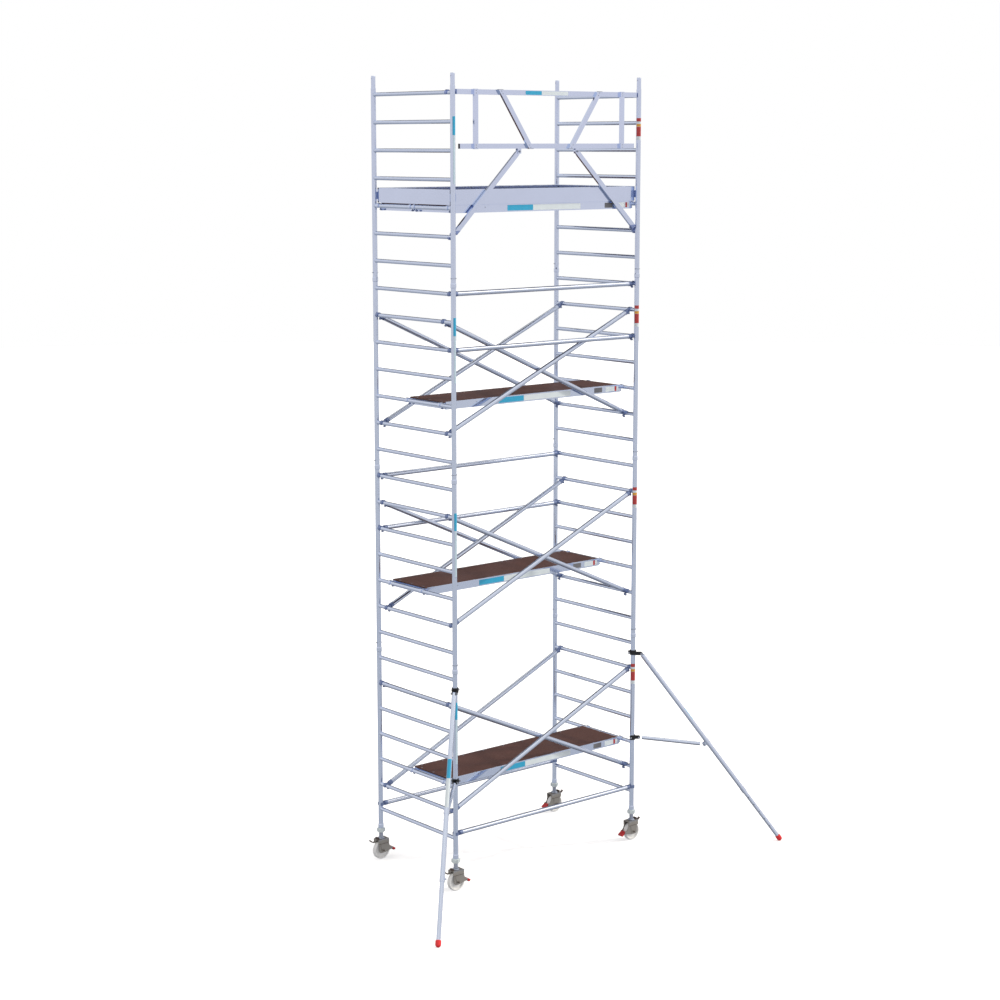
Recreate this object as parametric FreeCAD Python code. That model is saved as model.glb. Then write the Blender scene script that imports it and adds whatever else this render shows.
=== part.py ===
import FreeCAD, Part
import math
import os

os.makedirs("parts", exist_ok=True)

# Mobile tower scaffold: four stacked levels of ladder frames on braked castors, hooked
# braces, four platform levels, toe boards, a guard rail panel and two telescopic stabilisers.
# Millimetres, floor at z = 0, +Z up. X runs along the bay (left is -X), Y across it
# (front is -Y). The guard rail panel and the stabilisers are at the front. Parts are drawn
# about the middle of the bay and shifted at the end by FOOTPRINT_SHIFT.

# ---- driving dimensions -------------------------------------------------
BAY_LENGTH = 2500.0          # between the stile axes of the two end frames
FRAME_WIDTH = 1288.0         # between the two stile axes of one frame
LEFT_X, RIGHT_X = -BAY_LENGTH / 2, BAY_LENGTH / 2
FRONT_Y, BACK_Y = -FRAME_WIDTH / 2, FRAME_WIDTH / 2
FOOTPRINT_SHIFT = (-57.5, 541.5, 0)   # centres the footprint, stabilisers included, on the origin

LEVELS = 4
RUNGS_PER_FRAME = 7
RUNG_PITCH = 280.0
LEVEL_PITCH = RUNG_PITCH * RUNGS_PER_FRAME
FIRST_RUNG_Z = 560.0         # lowest rung above the floor
STILE_BELOW = 215.0          # frame foot below its first rung
STILE_ABOVE = 65.0           # shoulder above the last rung
FRAME_FOOT_Z = FIRST_RUNG_Z - STILE_BELOW
FRAME_TOP_Z = FIRST_RUNG_Z + RUNG_PITCH * (RUNGS_PER_FRAME - 1) + STILE_ABOVE

STILE_OD, STILE_ID = 50.8, 46.2
RUNG_OD, RUNG_ID = 40.0, 36.0
BRACE_OD, BRACE_ID = 48.0, 44.0
HOOK_IN, HOOK_OUT = 20.3, 28.5   # radii of a hook over a rung
PIVOT_R = 6.0                # pivot pins of guard struts and stabilisers
RUN = 0.06                   # radial running clearance of pivots

V = FreeCAD.Vector
X, Y, Z = V(1, 0, 0), V(0, 1, 0), V(0, 0, 1)
ORIGIN = V(0, 0, 0)


# ---- helpers ------------------------------------------------------------
def box(x0, x1, y0, y1, z0, z1):
    """Box between two values on each axis, given in either order."""
    corner = V(min(x0, x1), min(y0, y1), min(z0, z1))
    return Part.makeBox(abs(x1 - x0), abs(y1 - y0), abs(z1 - z0), corner)


def box_tube(bounds, wall, open_axis):
    """Rectangular tube filling the box bounds, open along axis 0, 1 or 2."""
    bore = []
    for axis in range(3):
        inset = -5.0 if axis == open_axis else wall
        bore += [bounds[2 * axis] + inset, bounds[2 * axis + 1] - inset]
    return box(*bounds).cut(box(*bore))


def cyl(start, axis, radius, length):
    return Part.makeCylinder(radius, length, V(*start), axis)


def tube(start, axis, length, outer, inner):
    bore_start = V(*start) - axis * 10
    return cyl(start, axis, outer, length).cut(cyl(bore_start, axis, inner, length + 20))


def closed_face(points):
    return Part.Face(Part.makePolygon(points + points[:1]))


def prism(points, axis, length):
    """Closed polygon of (x, y, z) points pushed along an axis."""
    return closed_face([V(*point) for point in points]).extrude(axis * length)


def revolve(outline, axis=Z):
    """Closed (radius, distance along the axis) outline turned round Z or Y."""
    points = [V(radius, 0, 0) + axis * along for radius, along in outline]
    return closed_face(points).revolve(ORIGIN, axis, 360)


def fuse(first, *others):
    return first.fuse(list(others)).removeSplitter()


def largest(shape):
    return max(shape.Solids, key=lambda solid: solid.Volume)


def moved(shape, offset):
    copy = shape.copy()
    copy.translate(V(*offset))
    return copy


def turned(shape, axis, degrees):
    copy = shape.copy()
    copy.rotate(ORIGIN, axis, degrees)
    return copy


def mirror_x(shape):
    return shape.mirror(ORIGIN, X)


def mirror_y(shape):
    return shape.mirror(ORIGIN, Y)


def rung_z(index):
    """Height of a rung, counted from 0 at the bottom of the tower."""
    return FIRST_RUNG_Z + RUNG_PITCH * index


pieces = {}


def put(name, shape):
    """Add the solids of a shape to a named piece."""
    for solid in shape.Solids:
        pieces.setdefault(name, []).append(moved(solid, FOOTPRINT_SHIFT))


# ---- ladder frames ------------------------------------------------------
SPIGOT_OD, SPIGOT_ID, SPIGOT_LEN = 45.0, 38.0, 122.0
FLARE_OD, FLARE_LEN = 58.0, 40.0   # swaged foot of every stile
PIN_HEIGHT = 92.0            # locking pin above the frame joint
PIN_R = 5.0
PIN_LEN = 66.0
HOLE_CLEAR = 0.2             # radial clearance of the pins in their holes
LOOP_R, LOOP_WIRE_R = 31.0, 2.2


def frame_stile():
    """Stile of the lowest frame, with its flared foot, spigot and pin holes."""
    foot, top = FRAME_FOOT_Z, FRAME_TOP_Z
    outer, inner = STILE_OD / 2, STILE_ID / 2
    flare, spigot, bore = FLARE_OD / 2, SPIGOT_OD / 2, SPIGOT_ID / 2
    stile = revolve([  # radius, z
        (inner, foot), (flare - 1, foot), (flare, foot + 2), (flare, foot + FLARE_LEN - 4),
        (outer, foot + FLARE_LEN + 8), (outer, top - 1.5), (outer - 1.5, top), (spigot, top),
        (spigot, top + SPIGOT_LEN - 8), (spigot - 2.5, top + SPIGOT_LEN),
        (bore, top + SPIGOT_LEN), (bore, top - 40), (inner, top - 46),
    ])
    for joint in (foot, top):
        stile = stile.cut(cyl((-60, 0, joint + PIN_HEIGHT), X, PIN_R + HOLE_CLEAR, 120))
    return stile


def frame_rung():
    """Rung along Y, its ends coped round both stiles."""
    rung = tube((0, FRONT_Y, 0), Y, FRAME_WIDTH, RUNG_OD / 2, RUNG_ID / 2)
    for y in (FRONT_Y, BACK_Y):
        rung = rung.cut(cyl((0, y, -60), Z, STILE_OD / 2, 120))
    return rung


def lock_pin():
    """Pin along X with half a wire loop on its +Y side."""
    pin = cyl((-PIN_LEN / 2, 0, 0), X, PIN_R, PIN_LEN)
    return fuse(pin, Part.makeTorus(LOOP_R, LOOP_WIRE_R, ORIGIN, Z, 0, 360, 180))


stile, rung = frame_stile(), frame_rung()
for side, x in (("left", LEFT_X), ("right", RIGHT_X)):
    for level in range(LEVELS):
        name = "frame_%s_%d" % (side, level + 1)
        rise = level * LEVEL_PITCH
        for y in (FRONT_Y, BACK_Y):
            put(name, moved(stile, (x, y, rise)))
        for index in range(RUNGS_PER_FRAME):
            put(name, moved(rung, (x, 0, rung_z(index) + rise)))

# one pin at every frame joint, its loop on the outside of the tower
back_pin = lock_pin()
front_pin = turned(back_pin, Z, 180)
for x in (LEFT_X, RIGHT_X):
    for y, pin in ((FRONT_Y, front_pin), (BACK_Y, back_pin)):
        for level in range(1, LEVELS):
            put("frame_lock_pins", moved(pin, (x, y, FRAME_FOOT_Z + LEVEL_PITCH * level + PIN_HEIGHT)))


# ---- hooks and braces ---------------------------------------------------
HOOK_WIDTH = 32.0
HOOK_SOCKET = 47.0           # socket collar from the rung axis
CLIP_SOCKET = 49.0           # socket collar from the stile axis
SOCKET_TO_TUBE = 3.2         # collar start to the end of the tube inside it
SOCKET_WALL = 2.2
TIE_Z = FIRST_RUNG_Z + 52.0
CLIP_IN, CLIP_OUT = STILE_OD / 2 + 0.3, STILE_OD / 2 + 8.0


def hook(width, reach, half_height, lean=0.0):
    """Hook open downwards on a rung along Y through the origin, with a shank that runs
    towards +X, leans up by `lean` degrees and ends at `reach`."""
    half = width / 2
    body = cyl((0, -half, 0), Y, HOOK_OUT, width)
    shank = box(0, reach, -half, half, -half_height, half_height)
    body = body.fuse(turned(shank, Y, -lean))
    body = body.cut(cyl((0, -half - 1, 0), Y, HOOK_IN, width + 2))
    slot = box(0, 60, -half - 1, half + 1, -HOOK_IN, HOOK_IN)
    return largest(body.cut(turned(slot, Y, -270)))


def brace_socket(start, length):
    """Collar that grips a brace tube along +X, and the disc that closes it."""
    collar = cyl((start, 0, 0), X, BRACE_OD / 2 + SOCKET_WALL, length)
    collar = collar.cut(cyl((start, 0, 0), X, BRACE_OD / 2, length))
    return collar, cyl((start - 3, 0, 0), X, BRACE_OD / 2 + SOCKET_WALL, 6.0)


def brace_hook(angle):
    """Left end of a brace that rises to the right by `angle` degrees."""
    body = hook(HOOK_WIDTH, reach=52.0, half_height=15.0, lean=angle)
    collar, disc = brace_socket(HOOK_SOCKET, 34.0)
    body = body.fuse(turned(collar.fuse(disc), Y, -angle))
    # nothing of the hook may reach the rung or its way on to it
    body = body.cut(cyl((0, -40, 0), Y, HOOK_IN, 80))
    return largest(body.cut(box(-HOOK_IN, HOOK_IN, -40, 40, -90, 0)))


def add_brace(level, left_rung, right_rung, y):
    """Tube between a left and a right rung, with its two hooks."""
    z_left, z_right = rung_z(left_rung), rung_z(right_rung)
    angle = math.degrees(math.atan2(z_right - z_left, BAY_LENGTH))
    length = math.hypot(BAY_LENGTH, z_right - z_left)
    start = HOOK_SOCKET + SOCKET_TO_TUBE
    body = tube((start, 0, 0), X, length - 2 * start, BRACE_OD / 2, BRACE_ID / 2)
    put("braces_level_%d" % level, moved(turned(body, Y, -angle), (LEFT_X, y, z_left)))
    put("brace_hooks", moved(brace_hook(angle), (LEFT_X, y, z_left)))
    put("brace_hooks", moved(mirror_x(brace_hook(-angle)), (RIGHT_X, y, z_right)))


def stile_clip():
    """Left end of a base tie: a clip round the stile, open towards -X."""
    clip = cyl((0, 0, -16), Z, CLIP_OUT, 32)
    clip = clip.fuse(box(0, 54, -15, 15, -16, 16))
    collar, disc = brace_socket(CLIP_SOCKET, 32.0)
    clip = clip.fuse(collar).fuse(disc)
    clip = clip.cut(cyl((0, 0, -40), Z, CLIP_IN, 80))
    return largest(clip.cut(box(-60, 0, -CLIP_IN, CLIP_IN, -20, 20)))


# level, y, whether it rises to the right
DIAGONALS = [
    (1, -597.0, True), (1, -541.0, False), (1, 597.0, False), (1, 543.0, True),
    (2, -597.0, True), (2, -541.0, False), (2, 544.0, False), (2, 492.0, True),
    (3, -544.0, True), (3, -492.0, False), (3, 597.0, False), (3, 543.0, True),
]
for level, y, rises in DIAGONALS:
    low = (level - 1) * RUNGS_PER_FRAME + 1
    high = low + 4
    if rises:
        add_brace(level, low, high, y)
    else:
        add_brace(level, high, low, y)

# handrails at the back of level 2 and the front of level 3: level, rung, y
for level, index, y in ((2, 13, 596.0), (2, 11, 596.0), (3, 20, -596.0), (3, 18, -596.0)):
    add_brace(level, index, index, y)

# base ties clipped round the stiles just above the lowest rung
clip = stile_clip()
tie_start = CLIP_SOCKET + SOCKET_TO_TUBE
for y in (FRONT_Y, BACK_Y):
    tie = tube((LEFT_X + tie_start, y, TIE_Z), X, BAY_LENGTH - 2 * tie_start,
               BRACE_OD / 2, BRACE_ID / 2)
    put("braces_level_1", tie)
    put("brace_hooks", moved(clip, (LEFT_X, y, TIE_Z)))
    put("brace_hooks", moved(mirror_x(clip), (RIGHT_X, y, TIE_Z)))


# ---- platforms ----------------------------------------------------------
PLATFORM_WIDTH = 590.0
PLATFORM_LENGTH = 2400.0
BEAM_TOP = 32.0              # heights in a platform are above its rung axis
BEAM_BOTTOM = BEAM_TOP - 80.0
PLY_TOP = 29.5
LEDGE = PLY_TOP - 10.0       # underside of the plywood
BEAM_WALL = 3.0
PLATFORM_HOOK_Y = 267.0      # hooks each side of the centre line
CROSS_BARS_X = (-800.0, -400.0, 0.0, 400.0, 800.0)
TOP_RUNG = 23
TOP_PLATFORM_Y = 300.0
# name, rung, y of the centre line
PLATFORMS = [
    ("1", 2, -190.0), ("2", 9, 160.0), ("3", 16, -160.0),
    ("4_front", TOP_RUNG, -TOP_PLATFORM_Y), ("4_back", TOP_RUNG, TOP_PLATFORM_Y),
]


def platform_hook():
    """Hook for the left end of a platform."""
    body = hook(30.0, reach=50.0, half_height=12.0)
    body = body.fuse(box(24, 50, -15, 15, -30, 14))
    return largest(body.cut(cyl((0, -20, 0), Y, HOOK_IN, 40)))


def add_platform(name, index, y_mid):
    frame = "platform_frame_" + name
    z = rung_z(index)
    half_w, half_l = PLATFORM_WIDTH / 2, PLATFORM_LENGTH / 2
    bar_top = z + LEDGE - BEAM_WALL
    y_front, y_back = y_mid - half_w + BEAM_WALL, y_mid + half_w - BEAM_WALL
    beam_section = [  # distance from the centre line, height
        (half_w, BEAM_BOTTOM), (half_w, BEAM_TOP - 1.5), (half_w - 1.5, BEAM_TOP),
        (half_w - 5, BEAM_TOP), (half_w - 5, LEDGE), (half_w - 26, LEDGE),
        (half_w - 26, LEDGE - BEAM_WALL), (half_w - BEAM_WALL, LEDGE - BEAM_WALL),
        (half_w - BEAM_WALL, BEAM_BOTTOM + BEAM_WALL), (half_w - 22, BEAM_BOTTOM + BEAM_WALL),
        (half_w - 22, BEAM_BOTTOM),
    ]
    for side in (1, -1):
        points = [(-half_l, y_mid + side * across, z + up) for across, up in beam_section]
        put(frame, prism(points, X, PLATFORM_LENGTH))
    left_hook = platform_hook()
    for end, end_hook in ((1, mirror_x(left_hook)), (-1, left_hook)):
        x0, x1 = sorted((end * half_l, end * (half_l - 25)))
        bounds = (x0, x1, y_front, y_back, z + BEAM_BOTTOM + BEAM_WALL, bar_top)
        put(frame, box_tube(bounds, 2.5, open_axis=1))
        for side in (1, -1):
            put(frame, moved(end_hook, (end * RIGHT_X, y_mid + side * PLATFORM_HOOK_Y, z)))
    for x in CROSS_BARS_X:
        bounds = (x - 20, x + 20, y_front, y_back, bar_top - 25, bar_top)
        put(frame, box_tube(bounds, 2.0, open_axis=1))
    deck_x, deck_y = half_l - 4, half_w - 5.5
    put("deck_" + name,
        box(-deck_x, deck_x, y_mid - deck_y, y_mid + deck_y, z + LEDGE, z + PLY_TOP))


for name, index, y_mid in PLATFORMS:
    add_platform(name, index, y_mid)

# ---- toe boards round the top level -------------------------------------
TOE_HEIGHT, TOE_THICK = 152.0, 20.0
TOE_PROUD = 14.0             # long toe boards stand outside the beams
TOE_Z = rung_z(TOP_RUNG) + BEAM_TOP
TOE_Y = TOP_PLATFORM_Y + PLATFORM_WIDTH / 2 + TOE_PROUD   # outer face of a long board
TOE_X = 1240.0               # outer face of a short board
LONG_HALF = 1232.0
SHORT_HALF = TOE_Y - TOE_THICK - 6
# inwards from the outer face, up from the bottom edge
TOE_SECTION = [
    (0, 0), (0, TOE_HEIGHT - 4), (2, TOE_HEIGHT - 1), (5, TOE_HEIGHT),
    (TOE_THICK - 5, TOE_HEIGHT), (TOE_THICK - 2, TOE_HEIGHT - 1), (TOE_THICK, TOE_HEIGHT - 4),
    (TOE_THICK, 0),
]


def long_board(side):
    """Hollow board along X at the back (1) or the front (-1)."""
    points = [(-LONG_HALF, side * (TOE_Y - inwards), TOE_Z + up) for inwards, up in TOE_SECTION]
    cavity = box(-LONG_HALF - 5, LONG_HALF + 5, side * (TOE_Y - 2), side * (TOE_Y - TOE_THICK + 2),
                 TOE_Z + 2.5, TOE_Z + TOE_HEIGHT - 6)
    return prism(points, X, 2 * LONG_HALF).cut(cavity)


def short_board(end):
    """Hollow board along Y at the right (1) or left (-1) end."""
    points = [(end * (TOE_X - inwards), -SHORT_HALF, TOE_Z + up) for inwards, up in TOE_SECTION]
    cavity = box(end * (TOE_X - 2), end * (TOE_X - TOE_THICK + 2), -SHORT_HALF - 5, SHORT_HALF + 5,
                 TOE_Z + 2.5, TOE_Z + TOE_HEIGHT - 6)
    return prism(points, Y, 2 * SHORT_HALF).cut(cavity)


def toe_clip():
    """Back right clip: a cap on the long board's end, a plate along the outside of the
    board, an arm joining them and a pad that bears on the stile."""
    plate_z0, plate_z1 = TOE_Z + 36, TOE_Z + 110
    tip = LONG_HALF + 24
    cap = box(LONG_HALF, LONG_HALF + 4, TOE_Y - TOE_THICK, TOE_Y, TOE_Z, TOE_Z + TOE_HEIGHT)
    plate = box(LONG_HALF - 44, tip, TOE_Y, TOE_Y + 4, plate_z0, plate_z1)
    arm = box(LONG_HALF, tip, TOE_Y - 6, TOE_Y + 4, plate_z0, plate_z1)
    pad = box(LONG_HALF + 6, tip, TOE_Y + 4, TOE_Y + 10.5, TOE_Z + 50, TOE_Z + 96)
    body = fuse(cap, plate, arm, pad)
    return largest(body.cut(cyl((RIGHT_X, BACK_Y, TOE_Z - 20), Z, STILE_OD / 2 + 0.3, 300)))


for side in (1, -1):
    put("toe_boards", long_board(side))
    put("toe_boards", short_board(side))

right_clip = toe_clip()
for end_clip in (right_clip, mirror_x(right_clip)):
    put("toe_board_clips", end_clip)
    put("toe_board_clips", mirror_y(end_clip))

# ---- guard rail panel, front of the top level ----------------------------
RAIL_H, RAIL_T, RAIL_WALL = 50.0, 25.0, 2.0
RAIL_Y = -645.0
RAIL_BACK = RAIL_Y + RAIL_T / 2
PANEL_RUNG_Z = rung_z(27)
TOP_RAIL_Z, LOW_RAIL_Z = PANEL_RUNG_Z + 8.0, 7603.0
PANEL_TOP, PANEL_BOTTOM = TOP_RAIL_Z + RAIL_H / 2, LOW_RAIL_Z - RAIL_H / 2
TOP_RAIL_HALF, LOW_RAIL_HALF = 1205.0, 1166.0
POST_X = 983.0
POST_Y1 = RAIL_Y - RAIL_T / 2   # posts and rakers stand in front of the rails
POST_Y0 = POST_Y1 - RAIL_T
RAKER_TOP_X, RAKER_LOW_X = 649.0, 285.0   # at the two rail axes
PANEL_HOOK_Y = -561.0
STRUT_PIVOT_X, STRUT_Y, STRUT_PIVOT_Z = 390.0, -625.0, PANEL_BOTTOM - 28.0
STRUT_RUNG_Z = rung_z(22)


def rail(half_length, z):
    bounds = (-half_length, half_length, RAIL_Y - RAIL_T / 2, RAIL_BACK,
              z - RAIL_H / 2, z + RAIL_H / 2)
    return box_tube(bounds, RAIL_WALL, open_axis=0)


def raker(side):
    """Raking tube of the panel, cut flush with the outer edges of both rails."""
    slope = side * (RAKER_TOP_X - RAKER_LOW_X) / (TOP_RAIL_Z - LOW_RAIL_Z)
    x_low = side * RAKER_LOW_X + slope * (PANEL_BOTTOM - LOW_RAIL_Z)
    x_top = side * RAKER_LOW_X + slope * (PANEL_TOP - LOW_RAIL_Z)
    half = RAIL_H / 2 / math.cos(math.atan(slope))

    def outline(half_x, y, past):
        """Parallelogram that runs `past` beyond each end of the tube."""
        low, top = x_low - slope * past, x_top + slope * past
        z0, z1 = PANEL_BOTTOM - past, PANEL_TOP + past
        return [(low - half_x, y, z0), (low + half_x, y, z0),
                (top + half_x, y, z1), (top - half_x, y, z1)]

    body = prism(outline(half, POST_Y0, 0), Y, RAIL_T)
    return body.cut(prism(outline(half - 2.2, POST_Y0 + RAIL_WALL, 9), Y, RAIL_T - 2 * RAIL_WALL))


def panel_hook():
    """Left hook of the top rail, with an arm that steps inwards past the stile."""
    body = hook(30.0, reach=60.0, half_height=14.0)
    body = moved(body, (LEFT_X, PANEL_HOOK_Y, PANEL_RUNG_Z))
    arm = box(LEFT_X + 50, LEFT_X + 86, RAIL_BACK, PANEL_HOOK_Y + 15,
              PANEL_RUNG_Z - 14, PANEL_RUNG_Z + 26)
    body = body.fuse(arm)
    return largest(body.cut(cyl((LEFT_X, PANEL_HOOK_Y - 40, PANEL_RUNG_Z), Y, HOOK_IN, 80)))


def strut_bracket(x):
    """Two ears under the lower rail, their pin and the block that joins them to the rail."""
    x0, x1, ear_bottom = x - 22, x + 22, STRUT_PIVOT_Z - 22
    front_ear = box(x0, x1, STRUT_Y - 17.5, STRUT_Y - 13.5, ear_bottom, PANEL_BOTTOM)
    back_ear = box(x0, x1, STRUT_Y + 13.5, STRUT_Y + 17.5, ear_bottom, LOW_RAIL_Z)
    block = box(x0, x1, RAIL_BACK, STRUT_Y + 17.5, PANEL_BOTTOM + 4, LOW_RAIL_Z)
    pin = cyl((x, STRUT_Y - 21, STRUT_PIVOT_Z), Y, PIVOT_R, 42)
    return fuse(front_ear, pin, back_ear, block)


def guard_strut():
    """Left strut: pivot at the lower rail, hook on the rung near the stile."""
    run, rise = LEFT_X + STRUT_PIVOT_X, STRUT_RUNG_Z - STRUT_PIVOT_Z
    length = math.hypot(run, rise)
    angle = math.degrees(math.atan2(rise, run))
    # built along +X from the pivot, then turned
    body = box_tube((30, length - 90, -12.5, 12.5, -25, 25), RAIL_WALL, open_axis=0)
    tongue = cyl((0, -12, 0), Y, 24.0, 24.0).fuse(box(0, 60, -10.4, 10.4, -22.9, 22.9))
    tongue = tongue.fuse(box(0, 31, -12, 12, -22, 22))
    tongue = tongue.cut(cyl((0, -20, 0), Y, PIVOT_R + RUN, 40))
    plug = box(length - 128, length - 80, -10.4, 10.4, -22.9, 22.9)
    plug = plug.fuse(box(length - 91, length - 55, -12.5, 12.5, -24, 24))
    hook_y = 26.0            # hook beside the tube
    ring = cyl((length, hook_y - 14, 0), Y, HOOK_OUT, 28.0)
    shank = box(length - 74, length, hook_y - 14, hook_y + 14, -22, 22)
    link = box(length - 74, length - 56, 0, hook_y, -22, 22)
    body = body.fuse([tongue, plug, ring, shank, link])
    body = body.cut(cyl((length, hook_y - 30, 0), Y, HOOK_IN, 60))
    # the mouth faces up and outwards, square to the strut, so that the strut
    # swings down and in off its rung
    body = largest(body.cut(box(length - HOOK_IN, length + HOOK_IN,
                                hook_y - 30, hook_y + 30, -60, 0)))
    body = moved(turned(body, Y, -angle), (-STRUT_PIVOT_X, STRUT_Y, STRUT_PIVOT_Z))
    # the hook passes beside the stile
    return largest(body.cut(cyl((LEFT_X, FRONT_Y, 6000), Z, STILE_OD / 2 + 1.0, 1400)))


put("guard_panel", rail(TOP_RAIL_HALF, TOP_RAIL_Z))
put("guard_panel", rail(LOW_RAIL_HALF, LOW_RAIL_Z))
left_hook = panel_hook()
for side, rail_hook in ((1, mirror_x(left_hook)), (-1, left_hook)):
    # end plate of the lower rail
    plate_x = side * (LOW_RAIL_HALF + 2)
    put("guard_panel", box(plate_x - 2, plate_x + 2, RAIL_Y - RAIL_T / 2, RAIL_BACK,
                           LOW_RAIL_Z - RAIL_H / 2, LOW_RAIL_Z + RAIL_H / 2))
    post_x = side * POST_X
    bounds = (post_x - 25, post_x + 25, POST_Y0, POST_Y1, PANEL_BOTTOM, PANEL_TOP)
    put("guard_panel", box_tube(bounds, RAIL_WALL, open_axis=2))
    put("guard_panel", raker(side))
    put("guard_panel", rail_hook)
    put("guard_panel", strut_bracket(side * STRUT_PIVOT_X))

left_strut = guard_strut()
put("guard_strut_left", left_strut)
put("guard_strut_right", mirror_x(left_strut))

# ---- castors ------------------------------------------------------------
# drawn round the stile axis, with the pedal towards +X
WHEEL_D, WHEEL_WIDTH = 200.0, 50.0
AXLE_Z = WHEEL_D / 2
AXLE_R = 8.0
LEG_OD, LEG_ID = 45.0, 37.0
LEG_TOP = 700.0
NUT_R = 36.0
NUT_BOTTOM, NUT_TOP = 297.0, FRAME_FOOT_Z - 0.2
FORK_IN, FORK_OUT = 33.5, 38.5   # faces of a side plate from the wheel's mid plane
FORK_TOP = 225.0
PEDAL_X, PEDAL_Z, PEDAL_PIN_R = 114.0, 108.0, 5.0
# x, z
FORK_OUTLINE = [
    (-62, 225), (72, 225), (76, 178), (86, 140), (104, 122), (118, 120), (127, 110), (126, 98),
    (116, 92), (70, 84), (20, 72), (-28, 70), (-42, 78), (-50, 92), (-52, 178), (-62, 186),
]
RIB_OUTLINE = [(-36, 178), (46, 178), (30, 84), (-18, 84)]
LEVER_OUTLINE = [
    (-60, 208), (-60, 200), (-96, 196), (-128, 214), (-131, 209), (-98, 188), (-52, 192),
    (-52, 208),
]
PEDAL_OUTLINE = [(110, 116.5), (124, 117), (168, 90), (172, 80), (164, 70), (150, 70), (118, 99)]


def side_prism(outline, y, thickness):
    """(x, z) outline at y, pushed towards +Y."""
    return prism([(x, y, z) for x, z in outline], Y, thickness)


def castor_leg():
    outer, bore = LEG_OD / 2, LEG_ID / 2
    return revolve([  # radius, z
        (0, 204), (13, 204), (13, 214), (8, 214), (8, 226), (36, 226), (37, 228), (37, 234),
        (30, 240), (outer, 243), (outer, LEG_TOP - 3), (outer - 1.5, LEG_TOP), (bore, LEG_TOP),
        (bore, 250), (0, 250),
    ])


def leg_nut():
    """Nut under the stile, with six round lugs."""
    bore = LEG_OD / 2 + RUN
    body = revolve([  # radius, z
        (bore, NUT_BOTTOM), (33, NUT_BOTTOM), (NUT_R, NUT_BOTTOM + 6), (NUT_R, NUT_TOP - 3),
        (NUT_R - 3, NUT_TOP), (bore, NUT_TOP),
    ])
    lug = cyl((NUT_R - 1, 0, NUT_BOTTOM + 8), Z, 11.0, NUT_TOP - NUT_BOTTOM - 12)
    return fuse(body, *[turned(lug, Z, 30 + 60 * i) for i in range(6)])


def fork():
    parts = [side_prism(FORK_OUTLINE, y, FORK_OUT - FORK_IN) for y in (FORK_IN, -FORK_OUT)]
    parts.append(box(-62, 72, -FORK_OUT, FORK_OUT, FORK_TOP - 8, FORK_TOP))
    for side in (1, -1):
        face = side * FORK_OUT
        # raised hood round the top of the side plate, its lower lip and a tapered rib
        parts.append(box(-66, 76, face, side * (FORK_OUT + 5), 178, FORK_TOP))
        parts.append(box(-64, 75, face, side * (FORK_OUT + 8), 178, 184))
        parts.append(side_prism(RIB_OUTLINE, min(face, side * (FORK_OUT + 3)), 3))
    # swivel stop block on the top plate, away from the pedal
    parts.append(box(-64, -44, -20, 20, FORK_TOP, 243))
    parts.append(cyl((0, -52, AXLE_Z), Y, AXLE_R, 104))
    corners = [math.radians(60 * i) for i in range(6)]
    hexagon = [(13.5 * math.cos(a), AXLE_Z + 13.5 * math.sin(a)) for a in corners]
    for y in (FORK_OUT, -FORK_OUT - 12):
        parts.append(side_prism(hexagon, y, 12))
    parts.append(cyl((PEDAL_X, -FORK_OUT, PEDAL_Z), Y, PEDAL_PIN_R, 2 * FORK_OUT))
    # hole for the neck of the castor leg
    return fuse(*parts).cut(cyl((0, 0, 210), Z, 8.0 + RUN, 30))


def release_lever():
    """Lever outside the brake housing, trimmed where the housing stands."""
    return largest(side_prism(LEVER_OUTLINE, 8, 18).cut(box(-70, -30, 6, 33, 188, 217)))


def brake_housing():
    return fuse(box(-62, -34, 6, 33, 206, 216.9), box(-62, -50, 8, 26, 190, 208))


def pedal():
    hub = cyl((PEDAL_X, -32, PEDAL_Z), Y, 9.0, 64)
    body = fuse(hub, side_prism(PEDAL_OUTLINE, -30, 60))
    return body.cut(cyl((PEDAL_X, -40, PEDAL_Z), Y, PEDAL_PIN_R + RUN, 80))


def wheel():
    bore, tread, half = AXLE_R + RUN, WHEEL_D / 2, WHEEL_WIDTH / 2
    outline = [  # radius, y
        (bore, -32.5), (20, -32.5), (22, -30), (24, -14), (30, -11), (74, -11), (80, -14),
        (82, -half + 2), (85, -half), (tread - 6, -half), (tread - 1.2, -half + 5),
        (tread, -half + 12), (tread, half - 12), (tread - 1.2, half - 5), (tread - 6, half),
        (85, half), (82, half - 2), (80, 14), (74, 11), (30, 11), (24, 14), (22, 30),
        (20, 32.5), (bore, 32.5),
    ]
    return moved(revolve(outline, axis=Y), (0, 0, AXLE_Z))


# name, shape, whether it is mirrored on the right so that its +X side faces the bay
castor_parts = [
    ("castor_leg_", castor_leg(), False), ("leg_nut_", leg_nut(), False),
    ("castor_wheel_", wheel(), False), ("castor_fork_", fork(), True),
    ("castor_fork_", brake_housing(), True), ("castor_fork_", release_lever(), True),
    ("castor_pedal_", pedal(), True),
]
for end, x in (("left", LEFT_X), ("right", RIGHT_X)):
    for side, y in (("back_", BACK_Y), ("front_", FRONT_Y)):
        for name, shape, handed in castor_parts:
            one = mirror_x(shape) if handed and end == "right" else shape
            put(name + side + end, moved(one, (x, y, 0)))

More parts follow.
